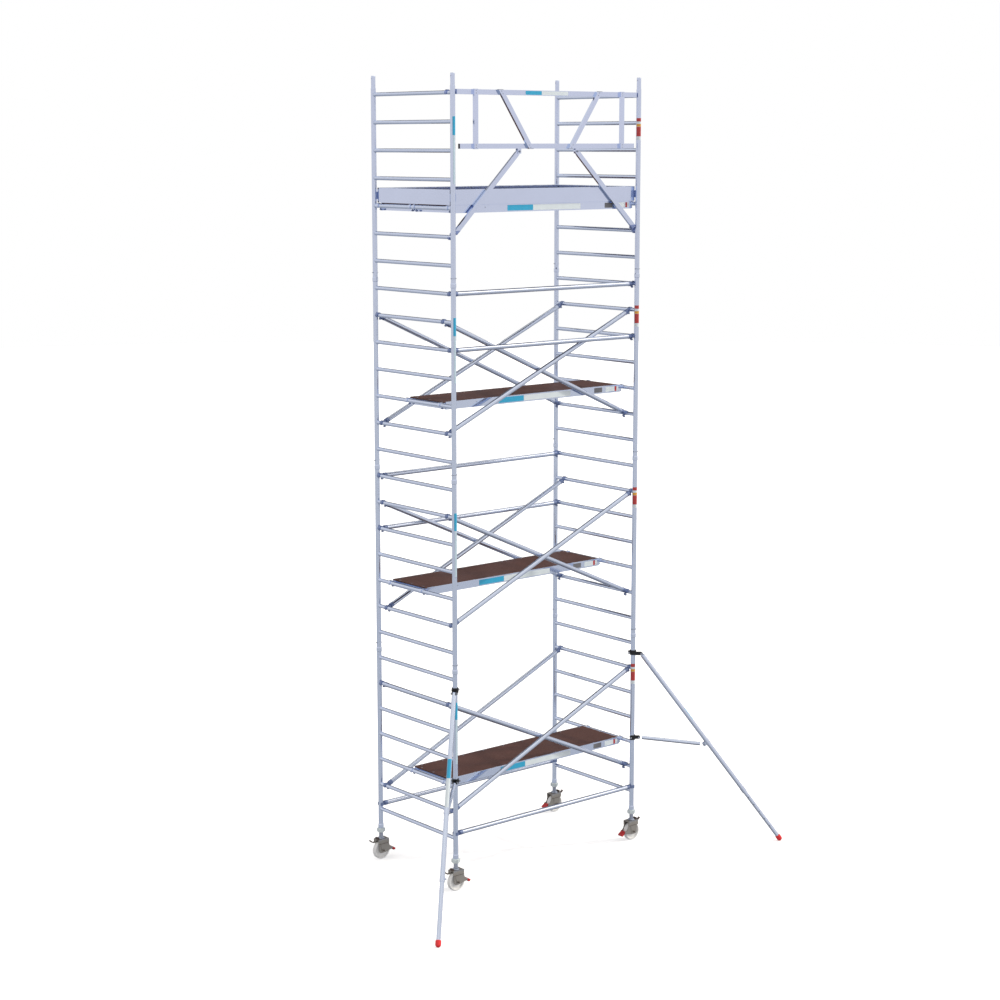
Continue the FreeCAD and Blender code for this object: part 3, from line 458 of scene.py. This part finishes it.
class Build:
    """Gathers shapes into one mesh; mat is a shape's material number."""

    def __init__(self):
        self.verts, self.faces, self.mats = [], [], []

    def raw(self, verts, faces, place=None, mat=0):
        start = len(self.verts)
        self.verts += [tuple(place @ Vector(p)) if place is not None else tuple(p)
                       for p in verts]
        self.faces += [tuple(i + start for i in face) for face in faces]
        self.mats += [mat] * len(faces)

    def lathe(self, profile, place, sides=24, mat=0):
        """(radius, along) from one end to the other; a radius of 0 closes the end."""
        verts, rows = [], []
        for radius, z in profile:
            count = sides if radius else 1
            rows.append(range(len(verts), len(verts) + count))
            verts += circle(radius, z, sides)[:count]
        self.raw(verts, skin(rows, sides), place, mat)

    def ring(self, profile, place, steps, mat=0, start=0.0, sweep=360.0):
        """Closed (radius, along) outline turned round local Z, all the way or part of it."""
        full = sweep == 360.0
        size = len(profile)
        rows = number_rows(steps if full else steps + 1, size)
        verts = []
        for i in range(len(rows)):
            a = math.radians(start + sweep * i / steps)
            verts += [(r * math.cos(a), r * math.sin(a), z) for r, z in profile]
        if full:
            faces = skin(rows + rows[:1], size)
        else:
            faces = skin(rows, size) + [tuple(rows[0])[::-1], tuple(rows[-1])]
        self.raw(verts, faces, place, mat)

    def prism(self, outline, height, place, mat=0):
        verts = [(x, y, z) for z in (0, height) for x, y in outline]
        rows = number_rows(2, len(outline))
        faces = [tuple(rows[0])[::-1], tuple(rows[1])] + skin(rows, len(outline))
        self.raw(verts, faces, place, mat)

    def block(self, corner, opposite, mat=0):
        verts = list(product(*(sorted(pair) for pair in zip(corner, opposite))))
        faces = [(0, 1, 3, 2), (4, 6, 7, 5), (0, 4, 5, 1), (2, 3, 7, 6), (0, 2, 6, 4),
                 (1, 5, 7, 3)]
        self.raw(verts, faces, mat=mat)

    def piece(self, name, body, mats, bevel=None, angle=38.0):
        """Makes the object; edges over the angle (degrees) are sharp and take the bevel."""
        mesh = bpy.data.meshes.new(name)
        mesh.from_pydata(self.verts, [], self.faces)
        for mat in mats:
            mesh.materials.append(MATS[mat])
        mesh.polygons.foreach_set("material_index", self.mats)
        edit = bmesh.new()
        edit.from_mesh(mesh)
        bmesh.ops.recalc_face_normals(edit, faces=edit.faces)
        edit.to_mesh(mesh)
        edit.free()
        mesh.polygons.foreach_set("use_smooth", [True] * len(mesh.polygons))
        mesh.set_sharp_from_angle(angle=math.radians(angle))
        mesh.update()
        obj = new_object(name, mesh)
        if bevel:
            edges = obj.modifiers.new("edges", "BEVEL")
            edges.width, edges.segments = bevel, 2
            edges.limit_method, edges.angle_limit = "ANGLE", math.radians(angle)
            edges.harden_normals = True
        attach(obj, body)
        return obj


def hex_nut(build, centre, axis, flats, height, mat=0, washer=None, stud=None):
    """Hexagon nut with a chamfered crown; a washer (radius) and the end of a
    threaded stud (radius, length) are optional."""
    place = frame_at(centre, axis)
    base = 0.0
    if washer:
        base = 0.0016
        build.lathe([(0, 0), (washer, 0), (washer, base), (0, base)], place, mat=mat)
    radius = flats / 2 / math.cos(math.radians(30))
    top = base + height
    verts = []
    for r, z in ((radius * 0.93, base), (radius, base + height * 0.14),
                 (radius, base + height * 0.82), (radius * 0.86, top)):
        verts += circle(r, z, 6)
    rows = number_rows(4, 6)
    faces = [tuple(rows[0])[::-1], tuple(rows[-1])] + skin(rows, 6)
    build.raw(verts, faces, place, mat)
    if stud:
        stud_r, stud_length = stud
        z = top - 0.001
        profile = [(0, z)]
        while z < top + stud_length - 0.001:
            profile += [(stud_r, z), (stud_r * 0.88, z + 0.00075)]
            z += 0.0015
        profile += [(stud_r * 0.8, top + stud_length), (0, top + stud_length)]
        build.lathe(profile, place, sides=16, mat=mat)


def dome(build, centre, axis, radius, height):
    """Rivet head, sunk slightly into its face."""
    profile = [(0, -0.0006), (radius, -0.0006), (radius, 0.0002),
               (radius * 0.93, height * 0.42), (radius * 0.74, height * 0.76),
               (radius * 0.42, height * 0.95), (0, height)]
    build.lathe(profile, frame_at(centre, axis), sides=18)


# ---------------------------------------------------------------- rung welds
BEAD_R, BEAD_LIFT = 0.0025, 0.0008      # bead radius, centre's lift off the stile
BEAD_STEPS, BEAD_SIDES = 44, 7
RIPPLE_SIZE, RIPPLE_COUNT = 0.14, 22


def weld_rings(side, x):
    """Rippled beads where the rungs of one end frame meet the stiles."""
    build = Build()
    rows = number_rows(BEAD_STEPS, BEAD_SIDES)
    for rung in range(LEVELS * LEVEL_RUNGS):
        for y, inward in ((Y_FRONT, 1), (Y_BACK, -1)):
            verts = []
            for i in range(BEAD_STEPS):
                turn = 2 * math.pi * i / BEAD_STEPS
                dx, dz = RUNG_R * math.cos(turn), RUNG_R * math.sin(turn)
                dy = math.sqrt(STILE_R ** 2 - dx ** 2) + BEAD_LIFT
                radius = BEAD_R * (1 + RIPPLE_SIZE * math.sin(turn * RIPPLE_COUNT))
                for q in range(BEAD_SIDES):
                    a = 2 * math.pi * q / BEAD_SIDES
                    out = radius * math.cos(a)
                    verts.append((x + dx + out * math.cos(turn),
                                  y + inward * (dy + radius * math.sin(a)),
                                  rung_z(rung) + dz + out * math.sin(turn)))
            build.raw(verts, skin(rows + rows[:1], BEAD_SIDES))
    build.piece("rung_welds_" + side, "tower", ["aluminium"])


weld_rings("left", X_LEFT)
weld_rings("right", X_RIGHT)

# ---------------------------------------------------------------- hook latches
# outline from the stile's axis and the rung's axis: inward, up
LATCH = [
    (0.0235, -0.0150), (0.0420, -0.0150), (0.0450, -0.0200), (0.0420, -0.0300),
    (0.0330, -0.0410), (0.0235, -0.0450), (0.0170, -0.0425), (0.0110, -0.0335),
    (0.0125, -0.0290), (0.0190, -0.0300), (0.0225, -0.0240),
]
LATCH_PIN_X, LATCH_PIN_DROP = 0.036, 0.0225
BRACE_LATCH_WIDTH, PLATFORM_LATCH_WIDTH = 0.018, 0.014
PLATFORM_HOOK_Y = 0.267     # from the platform's centre line


def latch(build, x, y, z, inward, width, upper=False):
    """Spring latch that closes the mouth of a hook from below, on its pivot pin.
    At a diagonal's upper end it is slimmer and hangs lower."""
    slim, drop = (0.92, 0.004) if upper else (1, 0)
    outline = [(inward * across * slim, up - drop) for across, up in LATCH]
    build.prism(outline[::inward], width, upright(x, y - width / 2, z))
    for side in (1, -1):
        pin = (x + inward * LATCH_PIN_X, y + side * width / 2, z - LATCH_PIN_DROP)
        dome(build, pin, (0, side, 0), radius=0.0042, height=0.0024)


def brace_hook_latches():
    build = Build()
    for level, y, rises in DIAGONALS:
        first = (level - 1) * LEVEL_RUNGS
        for x, inward in ENDS:
            upper = rises == (inward < 0)
            z = rung_z(first + (5 if upper else 1))
            latch(build, x, y + CENTRE_Y, z, inward, BRACE_LATCH_WIDTH, upper)
    for rung, y in HANDRAILS:
        for x, inward in ENDS:
            latch(build, x, y + CENTRE_Y, rung_z(rung), inward, BRACE_LATCH_WIDTH)
    build.piece("brace_hook_latches", "tower", ["latch_steel"], bevel=0.0012)


def platform_hook_latches():
    build = Build()
    for _, rung, centre in PLATFORMS:
        for x, inward in ENDS:
            for side in (1, -1):
                y = centre + CENTRE_Y + side * PLATFORM_HOOK_Y
                latch(build, x, y, rung_z(rung), inward, PLATFORM_LATCH_WIDTH)
    build.piece("platform_hook_latches", "tower", ["latch_steel"], bevel=0.001)


brace_hook_latches()
platform_hook_latches()

# ---------------------------------------------------------------- deck rivets
BEAM_FACE_Y = 0.295         # beam's outer face from the platform's centre line
EDGE_Y, END_X = 0.272, 1.178        # rivet rows along the deck's edges
CROSS_BARS = (-0.8, -0.4, 0.0, 0.4, 0.8)


def deck_rivets(name, rung, centre):
    build = Build()
    z = rung_z(rung) + PLY_TOP
    for side in (1, -1):
        edge = [(-1.12 + 0.28 * i, centre + side * EDGE_Y) for i in range(9)]
        end = [(side * END_X, centre + (i - 1) * 0.2) for i in range(3)]
        for x, y in edge + end:
            dome(build, local(x, y, z), (0, 0, 1), radius=0.0085, height=0.0028)
    # cross bar rivets through the beams' outer faces; a filmed front face shows only one
    for side in (1, -1):
        for x in CROSS_BARS[:1] if side < 0 and name != UNFILMED else CROSS_BARS:
            head = local(x, centre + side * BEAM_FACE_Y, rung_z(rung) + 0.004)
            dome(build, head, (0, side, 0), radius=0.006, height=0.0022)
    build.piece("deck_rivets_" + name, "tower", ["pin_steel"])


for platform in PLATFORMS:
    deck_rivets(*platform)

# ---------------------------------------------------------------- plain colour bands
FILM, FLAT_SINK, TUBE_SINK = 0.0006, 0.0002, 0.0003     # thickness, depth into the face
FILM_CORNER = 0.004
TOP_RAIL_Z = rung_z(27) + 0.008
RAIL_FACE_Y, RAIL_FILM_HALF = -0.6575, 0.019

# x from, x to, below and above the rung's axis, film
BEAM_BANDS = [
    (-0.51, -0.17, 0.036, 0.020, CYAN), (-0.168, 0.48, 0.036, 0.020, WHITE),
    (0.82, 0.935, 0.034, 0.018, GREY), (0.985, 1.115, 0.034, 0.018, WHITE),
    (1.117, 1.143, 0.034, 0.018, RED), (1.145, 1.172, 0.034, 0.018, WHITE),
]
# stile x, from and to above the level's first rung, film, centre and half angle (degrees)
STILE_BANDS = [
    (X_LEFT, 1.27, 1.45, CYAN, -90, 44), (X_LEFT, 0.80, 1.268, PALE, -96, 26),
    (X_RIGHT, 1.415, 1.450, RED, -90, 100), (X_RIGHT, 1.392, 1.413, WHITE, -90, 100),
    (X_RIGHT, 1.362, 1.390, ORANGE, -90, 100), (X_RIGHT, 1.262, 1.360, RED, -90, 100),
    (X_RIGHT, 1.225, 1.260, WHITE, -90, 100),
]


def flat_band(build, x0, x1, y, z0, z1, film):
    """Film with cut corners on a face that looks to the front."""
    cut = FILM_CORNER
    outline = [(x0 + cut, z0), (x1 - cut, z0), (x1, z0 + cut), (x1, z1 - cut),
               (x1 - cut, z1), (x0 + cut, z1), (x0, z1 - cut), (x0, z0 + cut)]
    place = upright(CENTRE_X, y + CENTRE_Y + FLAT_SINK, depth=-1)
    build.prism(outline, FILM + FLAT_SINK, place, film)


def tube_band(build, x, y, z0, z1, film, centre, half):
    inner, outer = STILE_R - TUBE_SINK, STILE_R + FILM
    profile = [(inner, z0), (outer, z0), (outer, z1), (inner, z1)]
    build.ring(profile, Matrix.Translation((x, y, 0)), 28, film, centre - half, 2 * half)


def beam_bands():
    build = Build()
    for name, rung, centre in PLATFORMS:
        if name == UNFILMED:
            continue
        z = rung_z(rung)
        for x0, x1, below, above, film in BEAM_BANDS:
            flat_band(build, x0, x1, centre - BEAM_FACE_Y, z - below, z + above, film)
    build.piece("colour_bands_beams", "tower", BANDS)


def stile_bands():
    build = Build()
    for level in range(LEVELS):
        z = rung_z(LEVEL_RUNGS * level)
        for x, z0, z1, film, centre, half in STILE_BANDS:
            tube_band(build, x, Y_FRONT, z + z0, z + z1, film, centre, half)
    build.piece("colour_bands_stiles", "tower", BANDS)


def rail_bands():
    build = Build()
    for x0, x1, film in ((-0.325, -0.112, CYAN), (-0.110, 0.245, WHITE)):
        flat_band(build, x0, x1, RAIL_FACE_Y, TOP_RAIL_Z - RAIL_FILM_HALF,
                  TOP_RAIL_Z + RAIL_FILM_HALF, film)
    build.piece("colour_bands_rail", "tower", BANDS)


beam_bands()
stile_bands()
rail_bands()

# ---------------------------------------------------------------- guard panel details
LOW_RAIL_Z = 7.603
RAIL_Y, STRUT_Y = -0.645, -0.625
TUBE_HALF = 0.025
RAKE_LEAN = (0.649 - 0.285) / (TOP_RAIL_Z - LOW_RAIL_Z)
RAKE_HALF = TUBE_HALF / math.cos(math.atan(RAKE_LEAN))
# post, then rake: x at the low rail, x per z, half width and material number of its plugs
UPRIGHTS = ((0.983, 0.0, 0.0248, 1), (0.285, RAKE_LEAN, RAKE_HALF - 0.0004, 0))
PLUG_FRONT_Y, PLUG_BACK_Y, PLUG_HEIGHT = -0.6823, -0.6577, 0.003
# rail's end seen along it: across, up
RAIL_CAP = [(-0.0118, -0.0243), (0.0118, -0.0243), (0.0125, -0.0236), (0.0125, 0.0236),
            (0.0118, 0.0243), (-0.0118, 0.0243), (-0.0125, 0.0236), (-0.0125, -0.0236)]
PANEL_MATS = ["black_plastic", "clip_plain"]


def rail_end_caps():
    """Stepped caps; only the one at the low rail's left end is black."""
    build = Build()
    for side in (1, -1):
        for x, z in ((1.205, TOP_RAIL_Z), (1.170, LOW_RAIL_Z)):
            place = frame_at(local(side * x, RAIL_Y, z), (side, 0, 0), (0, 1, 0))
            mat = 0 if side < 0 and z == LOW_RAIL_Z else 1
            build.prism(RAIL_CAP, 0.004, place, mat)
            build.prism([(x * 0.82, y * 0.9) for x, y in RAIL_CAP], 0.006, place, mat)
    build.piece("rail_end_caps", "tower", PANEL_MATS, bevel=0.0007)


def post_end_plugs():
    build = Build()
    for side in (1, -1):
        for z, up in ((TOP_RAIL_Z, 1), (LOW_RAIL_Z, -1)):
            end = z + up * TUBE_HALF
            for x_low, lean, half, mat in UPRIGHTS:
                x = side * (x_low + lean * (end - LOW_RAIL_Z))
                build.block(local(x - half, PLUG_FRONT_Y, end),
                            local(x + half, PLUG_BACK_Y, end + up * PLUG_HEIGHT), mat)
    build.piece("post_end_plugs", "tower", PANEL_MATS, bevel=0.0007)


def guard_panel_fasteners():
    """Rivets of posts and rakes on the rails, and the strut pivots' nuts."""
    build = Build()
    for side in (1, -1):
        for z in (TOP_RAIL_Z, LOW_RAIL_Z):
            for x_low, lean, _, _ in UPRIGHTS:
                x = x_low + lean * (z - LOW_RAIL_Z)
                for dz in (0.012, -0.012):
                    head = local(side * (x + lean * dz), -0.6825, z + dz)
                    dome(build, head, (0, -1, 0), radius=0.0055, height=0.0024)
        for facing, stud in ((-1, None), (1, (0.005, 0.004))):
            pivot = local(side * 0.390, STRUT_Y + facing * 0.021, LOW_RAIL_Z - 0.053)
            hex_nut(build, pivot, (0, facing, 0), flats=0.017, height=0.007, washer=0.0105,
                    stud=stud)
    build.piece("guard_panel_fasteners", "tower", ["pin_steel"])


rail_end_caps()
post_end_plugs()
guard_panel_fasteners()

# ---------------------------------------------------------------- stabiliser fasteners, bands
LEG_PIVOT = (0.090, 0, 2.122)
# x, y of the nut (+y) and head (-y) sides, z, across flats, height, washer, stud
UPPER_BOLTS = [
    (0.090, 0.026, 0.026, 2.122, 0.019, 0.009, 0.0125, (0.006, 0.005)),
    (-0.043, 0.024, 0.026, 2.136, 0.019, 0.009, None, (0.006, 0.010)),
]
LOWER_BOLTS = [
    (0.074, 0.026, 0.026, 1.174, 0.019, 0.009, 0.0120, (0.006, 0.005)),
    (-0.012, 0.040, 0.040, 1.174, 0.017, 0.008, None, (0.005, 0.008)),
]
# in the leg's frame
BRACKET_BOLTS = [(1.240, 0.025, 0.025, -0.044, 0.017, 0.008, 0.011, (0.005, 0.004))]
# start angle in degrees; bands as from and to along the leg, film
LEG_BANDS = {
    "left": (130, ((0.70, 0.90, CYAN), (0.902, 1.20, WHITE))),
    "right": (100, ((0.78, 0.94, CYAN),)),
}
LEG_BAND_INNER, LEG_BAND_OUTER, LEG_BAND_SWEEP = 0.0237, 0.0246, 110


def rotation(degrees, axis):
    return Matrix.Rotation(math.radians(degrees), 4, axis)


def through_bolts(name, body, place, bolts):
    """Bolts across local Y; the stud's end shows on the +y side."""
    build = Build()
    for side in (1, -1):
        axis = place.to_3x3() @ Vector((0, side, 0))
        for x, nut_y, head_y, z, flats, height, washer, stud in bolts:
            centre = place @ Vector((x, nut_y if side > 0 else -head_y, z))
            hex_nut(build, centre, axis, flats, height, washer=washer,
                    stud=stud if side > 0 else None)
    build.piece(name, body, ["pin_steel"])


def leg_band(side, leg):
    build = Build()
    start, bands = LEG_BANDS[side]
    for z0, z1, film in bands:
        profile = [(LEG_BAND_INNER, z0), (LEG_BAND_OUTER, z0),
                   (LEG_BAND_OUTER, z1), (LEG_BAND_INNER, z1)]
        build.ring(profile, leg @ rotation(90, "Y"), 28, film, start, LEG_BAND_SWEEP)
    build.piece("colour_band_leg_" + side, f"stabiliser_{side}_leg", BANDS)


for side_name, (stile_x, heading, tilt) in STABILISERS.items():
    stile_frame = Matrix.Translation((stile_x, Y_FRONT, 0)) @ rotation(heading, "Z")
    leg_frame = stile_frame @ Matrix.Translation(LEG_PIVOT) @ rotation(-tilt, "Y")
    body_name = f"stabiliser_{side_name}_"
    through_bolts("upper_coupler_bolts_" + side_name, body_name + "clamp", stile_frame,
                  UPPER_BOLTS)
    through_bolts("lower_coupler_bolts_" + side_name, body_name + "strut", stile_frame,
                  LOWER_BOLTS)
    leg_band(side_name, leg_frame)
    through_bolts("leg_bracket_bolts_" + side_name, body_name + "leg", leg_frame,
                  BRACKET_BOLTS)

# ---------------------------------------------------------------- castor details
# leg below and above its thread: radius, z; the last points line the bore
LEG_FOOT = [
    (0.0, 0.204), (0.0125, 0.204), (0.013, 0.2045), (0.013, 0.2135), (0.008, 0.214),
    (0.008, 0.226), (0.0355, 0.226), (0.037, 0.2275), (0.037, 0.2335), (0.030, 0.240),
    (0.0224, 0.2432),
]
LEG_HEAD = [(0.0218, 0.6995), (0.0212, 0.700), (0.0185, 0.700), (0.0185, 0.250), (0.0, 0.250)]
LEG_SIDES = 32
THREAD_LOW, THREAD_HIGH, THREAD_STEP = 0.2445, 0.694, 0.002
THREAD_R, THREAD_DEPTH, THREAD_PITCH = 0.0225, 0.0021, 0.012
THREAD_FADE = 0.004         # run-in at both ends
AXLE_Z, AXLE_NUT_Y = 0.100, 0.0505

# In the tables below x runs inward from the castor's axis.
# x, half spread in y, z, radius, height
FORK_RIVETS = [(-0.048, 0.0435, 0.210, 0.0052, 0.0025), (0.056, 0.0435, 0.210, 0.0052, 0.0025),
               (0.114, 0.0385, 0.108, 0.0068, 0.0035)]
# painted light on both faces of the hood, a bright strip as painted highlight along its top and
# a dark strip as painted shadow under its lip: x, y and z from and to, material number
HOOD_PAINTED_LIGHT_STRIPS = [((-0.062, 0.073), (0.0435, 0.0443), (0.2190, 0.2245), 1),
               ((-0.060, 0.072), (0.0384, 0.0450), (0.1725, 0.1778), 0)]
STOP_X, STOP_HALF_Y, STOP_Z = (-0.0650, -0.0432), 0.0210, (0.2252, 0.2440)
# side outlines: x, z
LEVER_GRIP = [(-0.098, 0.1865), (-0.133, 0.2065), (-0.143, 0.2230),
              (-0.136, 0.2275), (-0.122, 0.2155), (-0.096, 0.1985)]
GRIP_Y, GRIP_WIDTH = 0.006, 0.022
PEDAL_ARM = [(0.1185, 0.0985), (0.1500, 0.0698), (0.1600, 0.0698),
             (0.1585, 0.0668), (0.1488, 0.0666), (0.1165, 0.0958)]
PEDAL_ARM_WIDTH = 0.052
# radius, z
SWIVEL_RACE = [(0.0369, 0.2264), (0.0405, 0.2264), (0.0412, 0.2272),
               (0.0412, 0.2312), (0.0400, 0.2324), (0.0369, 0.2330)]


def thread_radius(i, z):
    """Trapezoidal thread: flat crest and root, sloped flanks."""
    fade = min(1.0, (z - THREAD_LOW) / THREAD_FADE, (THREAD_HIGH - z) / THREAD_FADE)
    phase = ((z / THREAD_PITCH) - i / LEG_SIDES) % 1.0
    crest = min(1.0, max(0.0, (abs(phase - 0.5) - 0.14) / 0.12))
    return THREAD_R - THREAD_DEPTH * (1 - crest) * fade


def threaded_leg(corner, x, y):
    """Castor leg with its thread, standing for the plain CAD leg."""
    verts, rows = [], []

    def row(radii, z):
        rows.append(range(len(verts), len(verts) + len(radii)))
        for i, radius in enumerate(radii):
            a = 2 * math.pi * i / LEG_SIDES
            verts.append((x + radius * math.cos(a), y + radius * math.sin(a), z))

    def plain_rows(profile):
        for radius, z in profile:
            row([radius] * (LEG_SIDES if radius else 1), z)

    plain_rows(LEG_FOOT)
    steps = int((THREAD_HIGH - THREAD_LOW) / THREAD_STEP)
    for q in range(steps + 1):
        z = THREAD_LOW + (THREAD_HIGH - THREAD_LOW) * q / steps
        row([thread_radius(i, z) for i in range(LEG_SIDES)], z)
    plain_rows(LEG_HEAD)
    build = Build()
    build.raw(verts, skin(rows, LEG_SIDES))
    leg = build.piece("threaded_leg_" + corner, "leg_" + corner, ["leg_steel"],
                      angle=50)
    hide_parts("castor_leg_" + corner)


def castor_fasteners(corner, x, y, inward):
    """Axle nuts and the rivets on both faces of the fork."""
    build = Build()
    for side in (1, -1):
        hex_nut(build, (x, y + side * AXLE_NUT_Y, AXLE_Z), (0, side, 0), flats=0.015,
                height=0.006, mat=1, stud=(0.005, 0.003))
        for dx, dy, z, radius, height in FORK_RIVETS:
            dome(build, (x + inward * dx, y + side * dy, z), (0, side, 0), radius, height)
    build.piece("castor_fasteners_" + corner, "fork_" + corner,
                ["pin_steel", "dark_steel"])


def castor_parts_and_painted_light(corner, x, y, inward):
    """Painted highlight strip along the hood's top and painted shadow strip under its lip, stop
    block cover and lever grip.
    """
    build = Build()
    # painted highlight strip on the hood's top and painted shadow strip under its lip, on both
    # faces
    for side in (1, -1):
        for xs, ys, zs, mat in HOOD_PAINTED_LIGHT_STRIPS:
            near, far = [(x + inward * dx, y + side * dy, z) for dx, dy, z in zip(xs, ys, zs)]
            build.block(near, far, mat)
    build.block((x + inward * STOP_X[0], y - STOP_HALF_Y, STOP_Z[0]),
                (x + inward * STOP_X[1], y + STOP_HALF_Y, STOP_Z[1]))
    build.prism(LEVER_GRIP, GRIP_WIDTH, upright(x, y + GRIP_Y, across=inward))
    build.piece("castor_parts_and_painted_light_" + corner, "fork_" + corner,
                ["dark_steel", "pin_steel"], bevel=0.0008)


def swivel_race(corner, x, y):
    """Bright race of the swivel bearing round the stem."""
    build = Build()
    build.ring(SWIVEL_RACE, Matrix.Translation((x, y, 0)), 40)
    build.piece("swivel_race_" + corner, "leg_" + corner, ["pin_steel"])


def pedal_arm(corner, x, y, inward):
    """Steel arm that carries the pedal's tread."""
    build = Build()
    place = upright(x, y - PEDAL_ARM_WIDTH / 2, across=inward)
    build.prism(PEDAL_ARM, PEDAL_ARM_WIDTH, place)
    build.piece("pedal_arm_" + corner, "pedal_" + corner, ["dark_steel"],
                bevel=0.0006)


for corner_name, (corner_x, corner_y, towards) in CORNERS.items():
    threaded_leg(corner_name, corner_x, corner_y)
    castor_fasteners(corner_name, corner_x, corner_y, towards)
    castor_parts_and_painted_light(corner_name, corner_x, corner_y, towards)
    swivel_race(corner_name, corner_x, corner_y)
    pedal_arm(corner_name, corner_x, corner_y, towards)

# ---------------------------------------------------------------- stage, light, camera
# surroundings from straight down (0) to straight up (1): position, colour
SKY = [
    (0.00, (0.13, 0.13, 0.145, 1)), (0.09, (0.24, 0.24, 0.26, 1)),
    (0.185, (0.42, 0.43, 0.455, 1)), (0.37, (0.575, 0.58, 0.60, 1)),
    (0.45, (0.70, 0.685, 0.675, 1)), (0.50, (0.80, 0.765, 0.785, 1)),
    (0.62, (0.79, 0.765, 0.785, 1)), (0.815, (0.81, 0.80, 0.795, 1)),
    (1.00, (1.10, 1.07, 1.02, 1)),
]


def world_light():
    """Graded surroundings with dark patches and one bright patch, white to the camera."""
    world = bpy.data.worlds.new("studio")
    SCENE.world = world
    world.use_nodes = True
    tree = Nodes(world.node_tree)
    generated = tree.add("ShaderNodeTexCoord").outputs["Generated"]
    ray = tree.add("ShaderNodeVectorMath", {"operation": "NORMALIZE"}, i0=generated).outputs[0]
    ray_z = tree.add("ShaderNodeSeparateXYZ", i0=ray).outputs[2]
    level = tree.ramp(tree.math("MULTIPLY_ADD", ray_z, 0.5, 0.5), SKY)

    def lobe(direction, inner, outer):
        """Smooth patch: 1 within the inner angle, 0 beyond the outer (degrees)."""
        dot = tree.dot(ray, tuple(Vector(direction).normalized()))
        low, high = math.cos(math.radians(outer)), math.cos(math.radians(inner))
        t = tree.math("DIVIDE", tree.minus(dot, low), high - low, clamp=True)
        return tree.times(tree.times(t, t), tree.minus(3.0, tree.times(t, 2.0)))

    dark = tree.math("MAXIMUM", lobe((0.58, 0.76, 0.20), inner=13, outer=23),
                     lobe((0.52, 0.74, 0.42), inner=12, outer=21))
    high_patch = tree.times(lobe((0.27, 0.745, 0.61), inner=13, outer=21), 0.95)
    dark = tree.math("MAXIMUM", dark, high_patch)
    level = tree.mix(tree.times(dark, 0.96), level, (0.11, 0.105, 0.115, 1))
    bright = lobe((0.634, -0.52, 0.57), inner=6, outer=14)
    level = tree.mix(bright, level, (2.9, 2.6, 2.3, 1))
    to_camera = tree.add("ShaderNodeLightPath").outputs["Is Camera Ray"]
    lit = tree.add("ShaderNodeBackground", Color=level, Strength=1.0)
    seen = tree.add("ShaderNodeBackground", Color=(1, 1, 1, 1), Strength=1.0)
    both = tree.add("ShaderNodeMixShader", i0=to_camera, i1=lit.outputs[0], i2=seen.outputs[0])
    tree.add("ShaderNodeOutputWorld", Surface=both.outputs[0])


def floor():
    """Pale glowing disc that is left out of reflections and bounced light."""
    mesh = bpy.data.meshes.new("studio_floor")
    sides, radii = 96, (3.0, 6.0, 12.0, 30.0, 60.0)
    verts = [(0, 0, 0)]
    for radius in radii:
        verts += circle(radius, 0, sides)
    faces = [(0, 1 + i, 1 + (i + 1) % sides) for i in range(sides)]
    for k in range(len(radii) - 1):
        a, b = 1 + k * sides, 1 + (k + 1) * sides
        for i in range(sides):
            j = (i + 1) % sides
            faces.append((a + i, b + i, b + j, a + j))
    mesh.from_pydata(verts, [], faces)
    disc = new_object("studio_floor", mesh)
    material, tree = new_material("pale_floor")
    cloud = tree.noise(tree.object_point(), scale=3.0)
    colour = tree.mix(cloud, (0.90, 0.90, 0.905, 1), (0.93, 0.93, 0.93, 1))
    diffuse = tree.add("ShaderNodeBsdfDiffuse", Color=colour)
    glow = tree.add("ShaderNodeEmission", Color=(1, 1, 1, 1), Strength=0.42)
    both = tree.add("ShaderNodeAddShader", i0=diffuse.outputs[0], i1=glow.outputs[0])
    tree.add("ShaderNodeOutputMaterial", Surface=both.outputs[0])
    mesh.materials.append(material)
    disc.visible_glossy = False
    disc.visible_diffuse = False
    disc.visible_transmission = False


def key_light():
    sun = bpy.data.lights.new("key_light", "SUN")
    sun.energy = 1.7
    sun.angle = math.radians(2.5)
    sun.color = (1.0, 0.95, 0.84)
    lamp = new_object("key_light", sun)
    lamp.rotation_mode = "QUATERNION"
    to_sun = Vector((0.82, -0.40, 0.42))
    lamp.rotation_quaternion = (-to_sun).to_track_quat("-Z", "Y")
    lamp.visible_glossy = False


def camera():
    data = bpy.data.cameras.new("camera")
    data.lens, data.sensor_width = 75.03, 36.0
    data.clip_start, data.clip_end = 0.1, 400.0
    view = new_object("camera", data)
    yaw, pitch, roll = 0.69852, -0.169517, -0.000485     # radians; yaw from +Y towards +X
    forward = Vector((math.sin(yaw) * math.cos(pitch), math.cos(yaw) * math.cos(pitch),
                      math.sin(pitch)))
    level = Vector((math.cos(yaw), -math.sin(yaw), 0.0))
    upward = level.cross(forward)
    right = level * math.cos(roll) + upward * math.sin(roll)
    top = -level * math.sin(roll) + upward * math.cos(roll)
    place = Matrix((right, top, -forward)).transposed().to_4x4()
    place.translation = Vector((-14.2126, -16.1837, 7.631))
    view.matrix_world = place
    SCENE.camera = view


world_light()
floor()
key_light()
camera()
SCENE.view_settings.view_transform = "Standard"
SCENE.view_settings.look = "None"
SCENE.view_settings.exposure = 0.0
SCENE.view_settings.gamma = 1.0
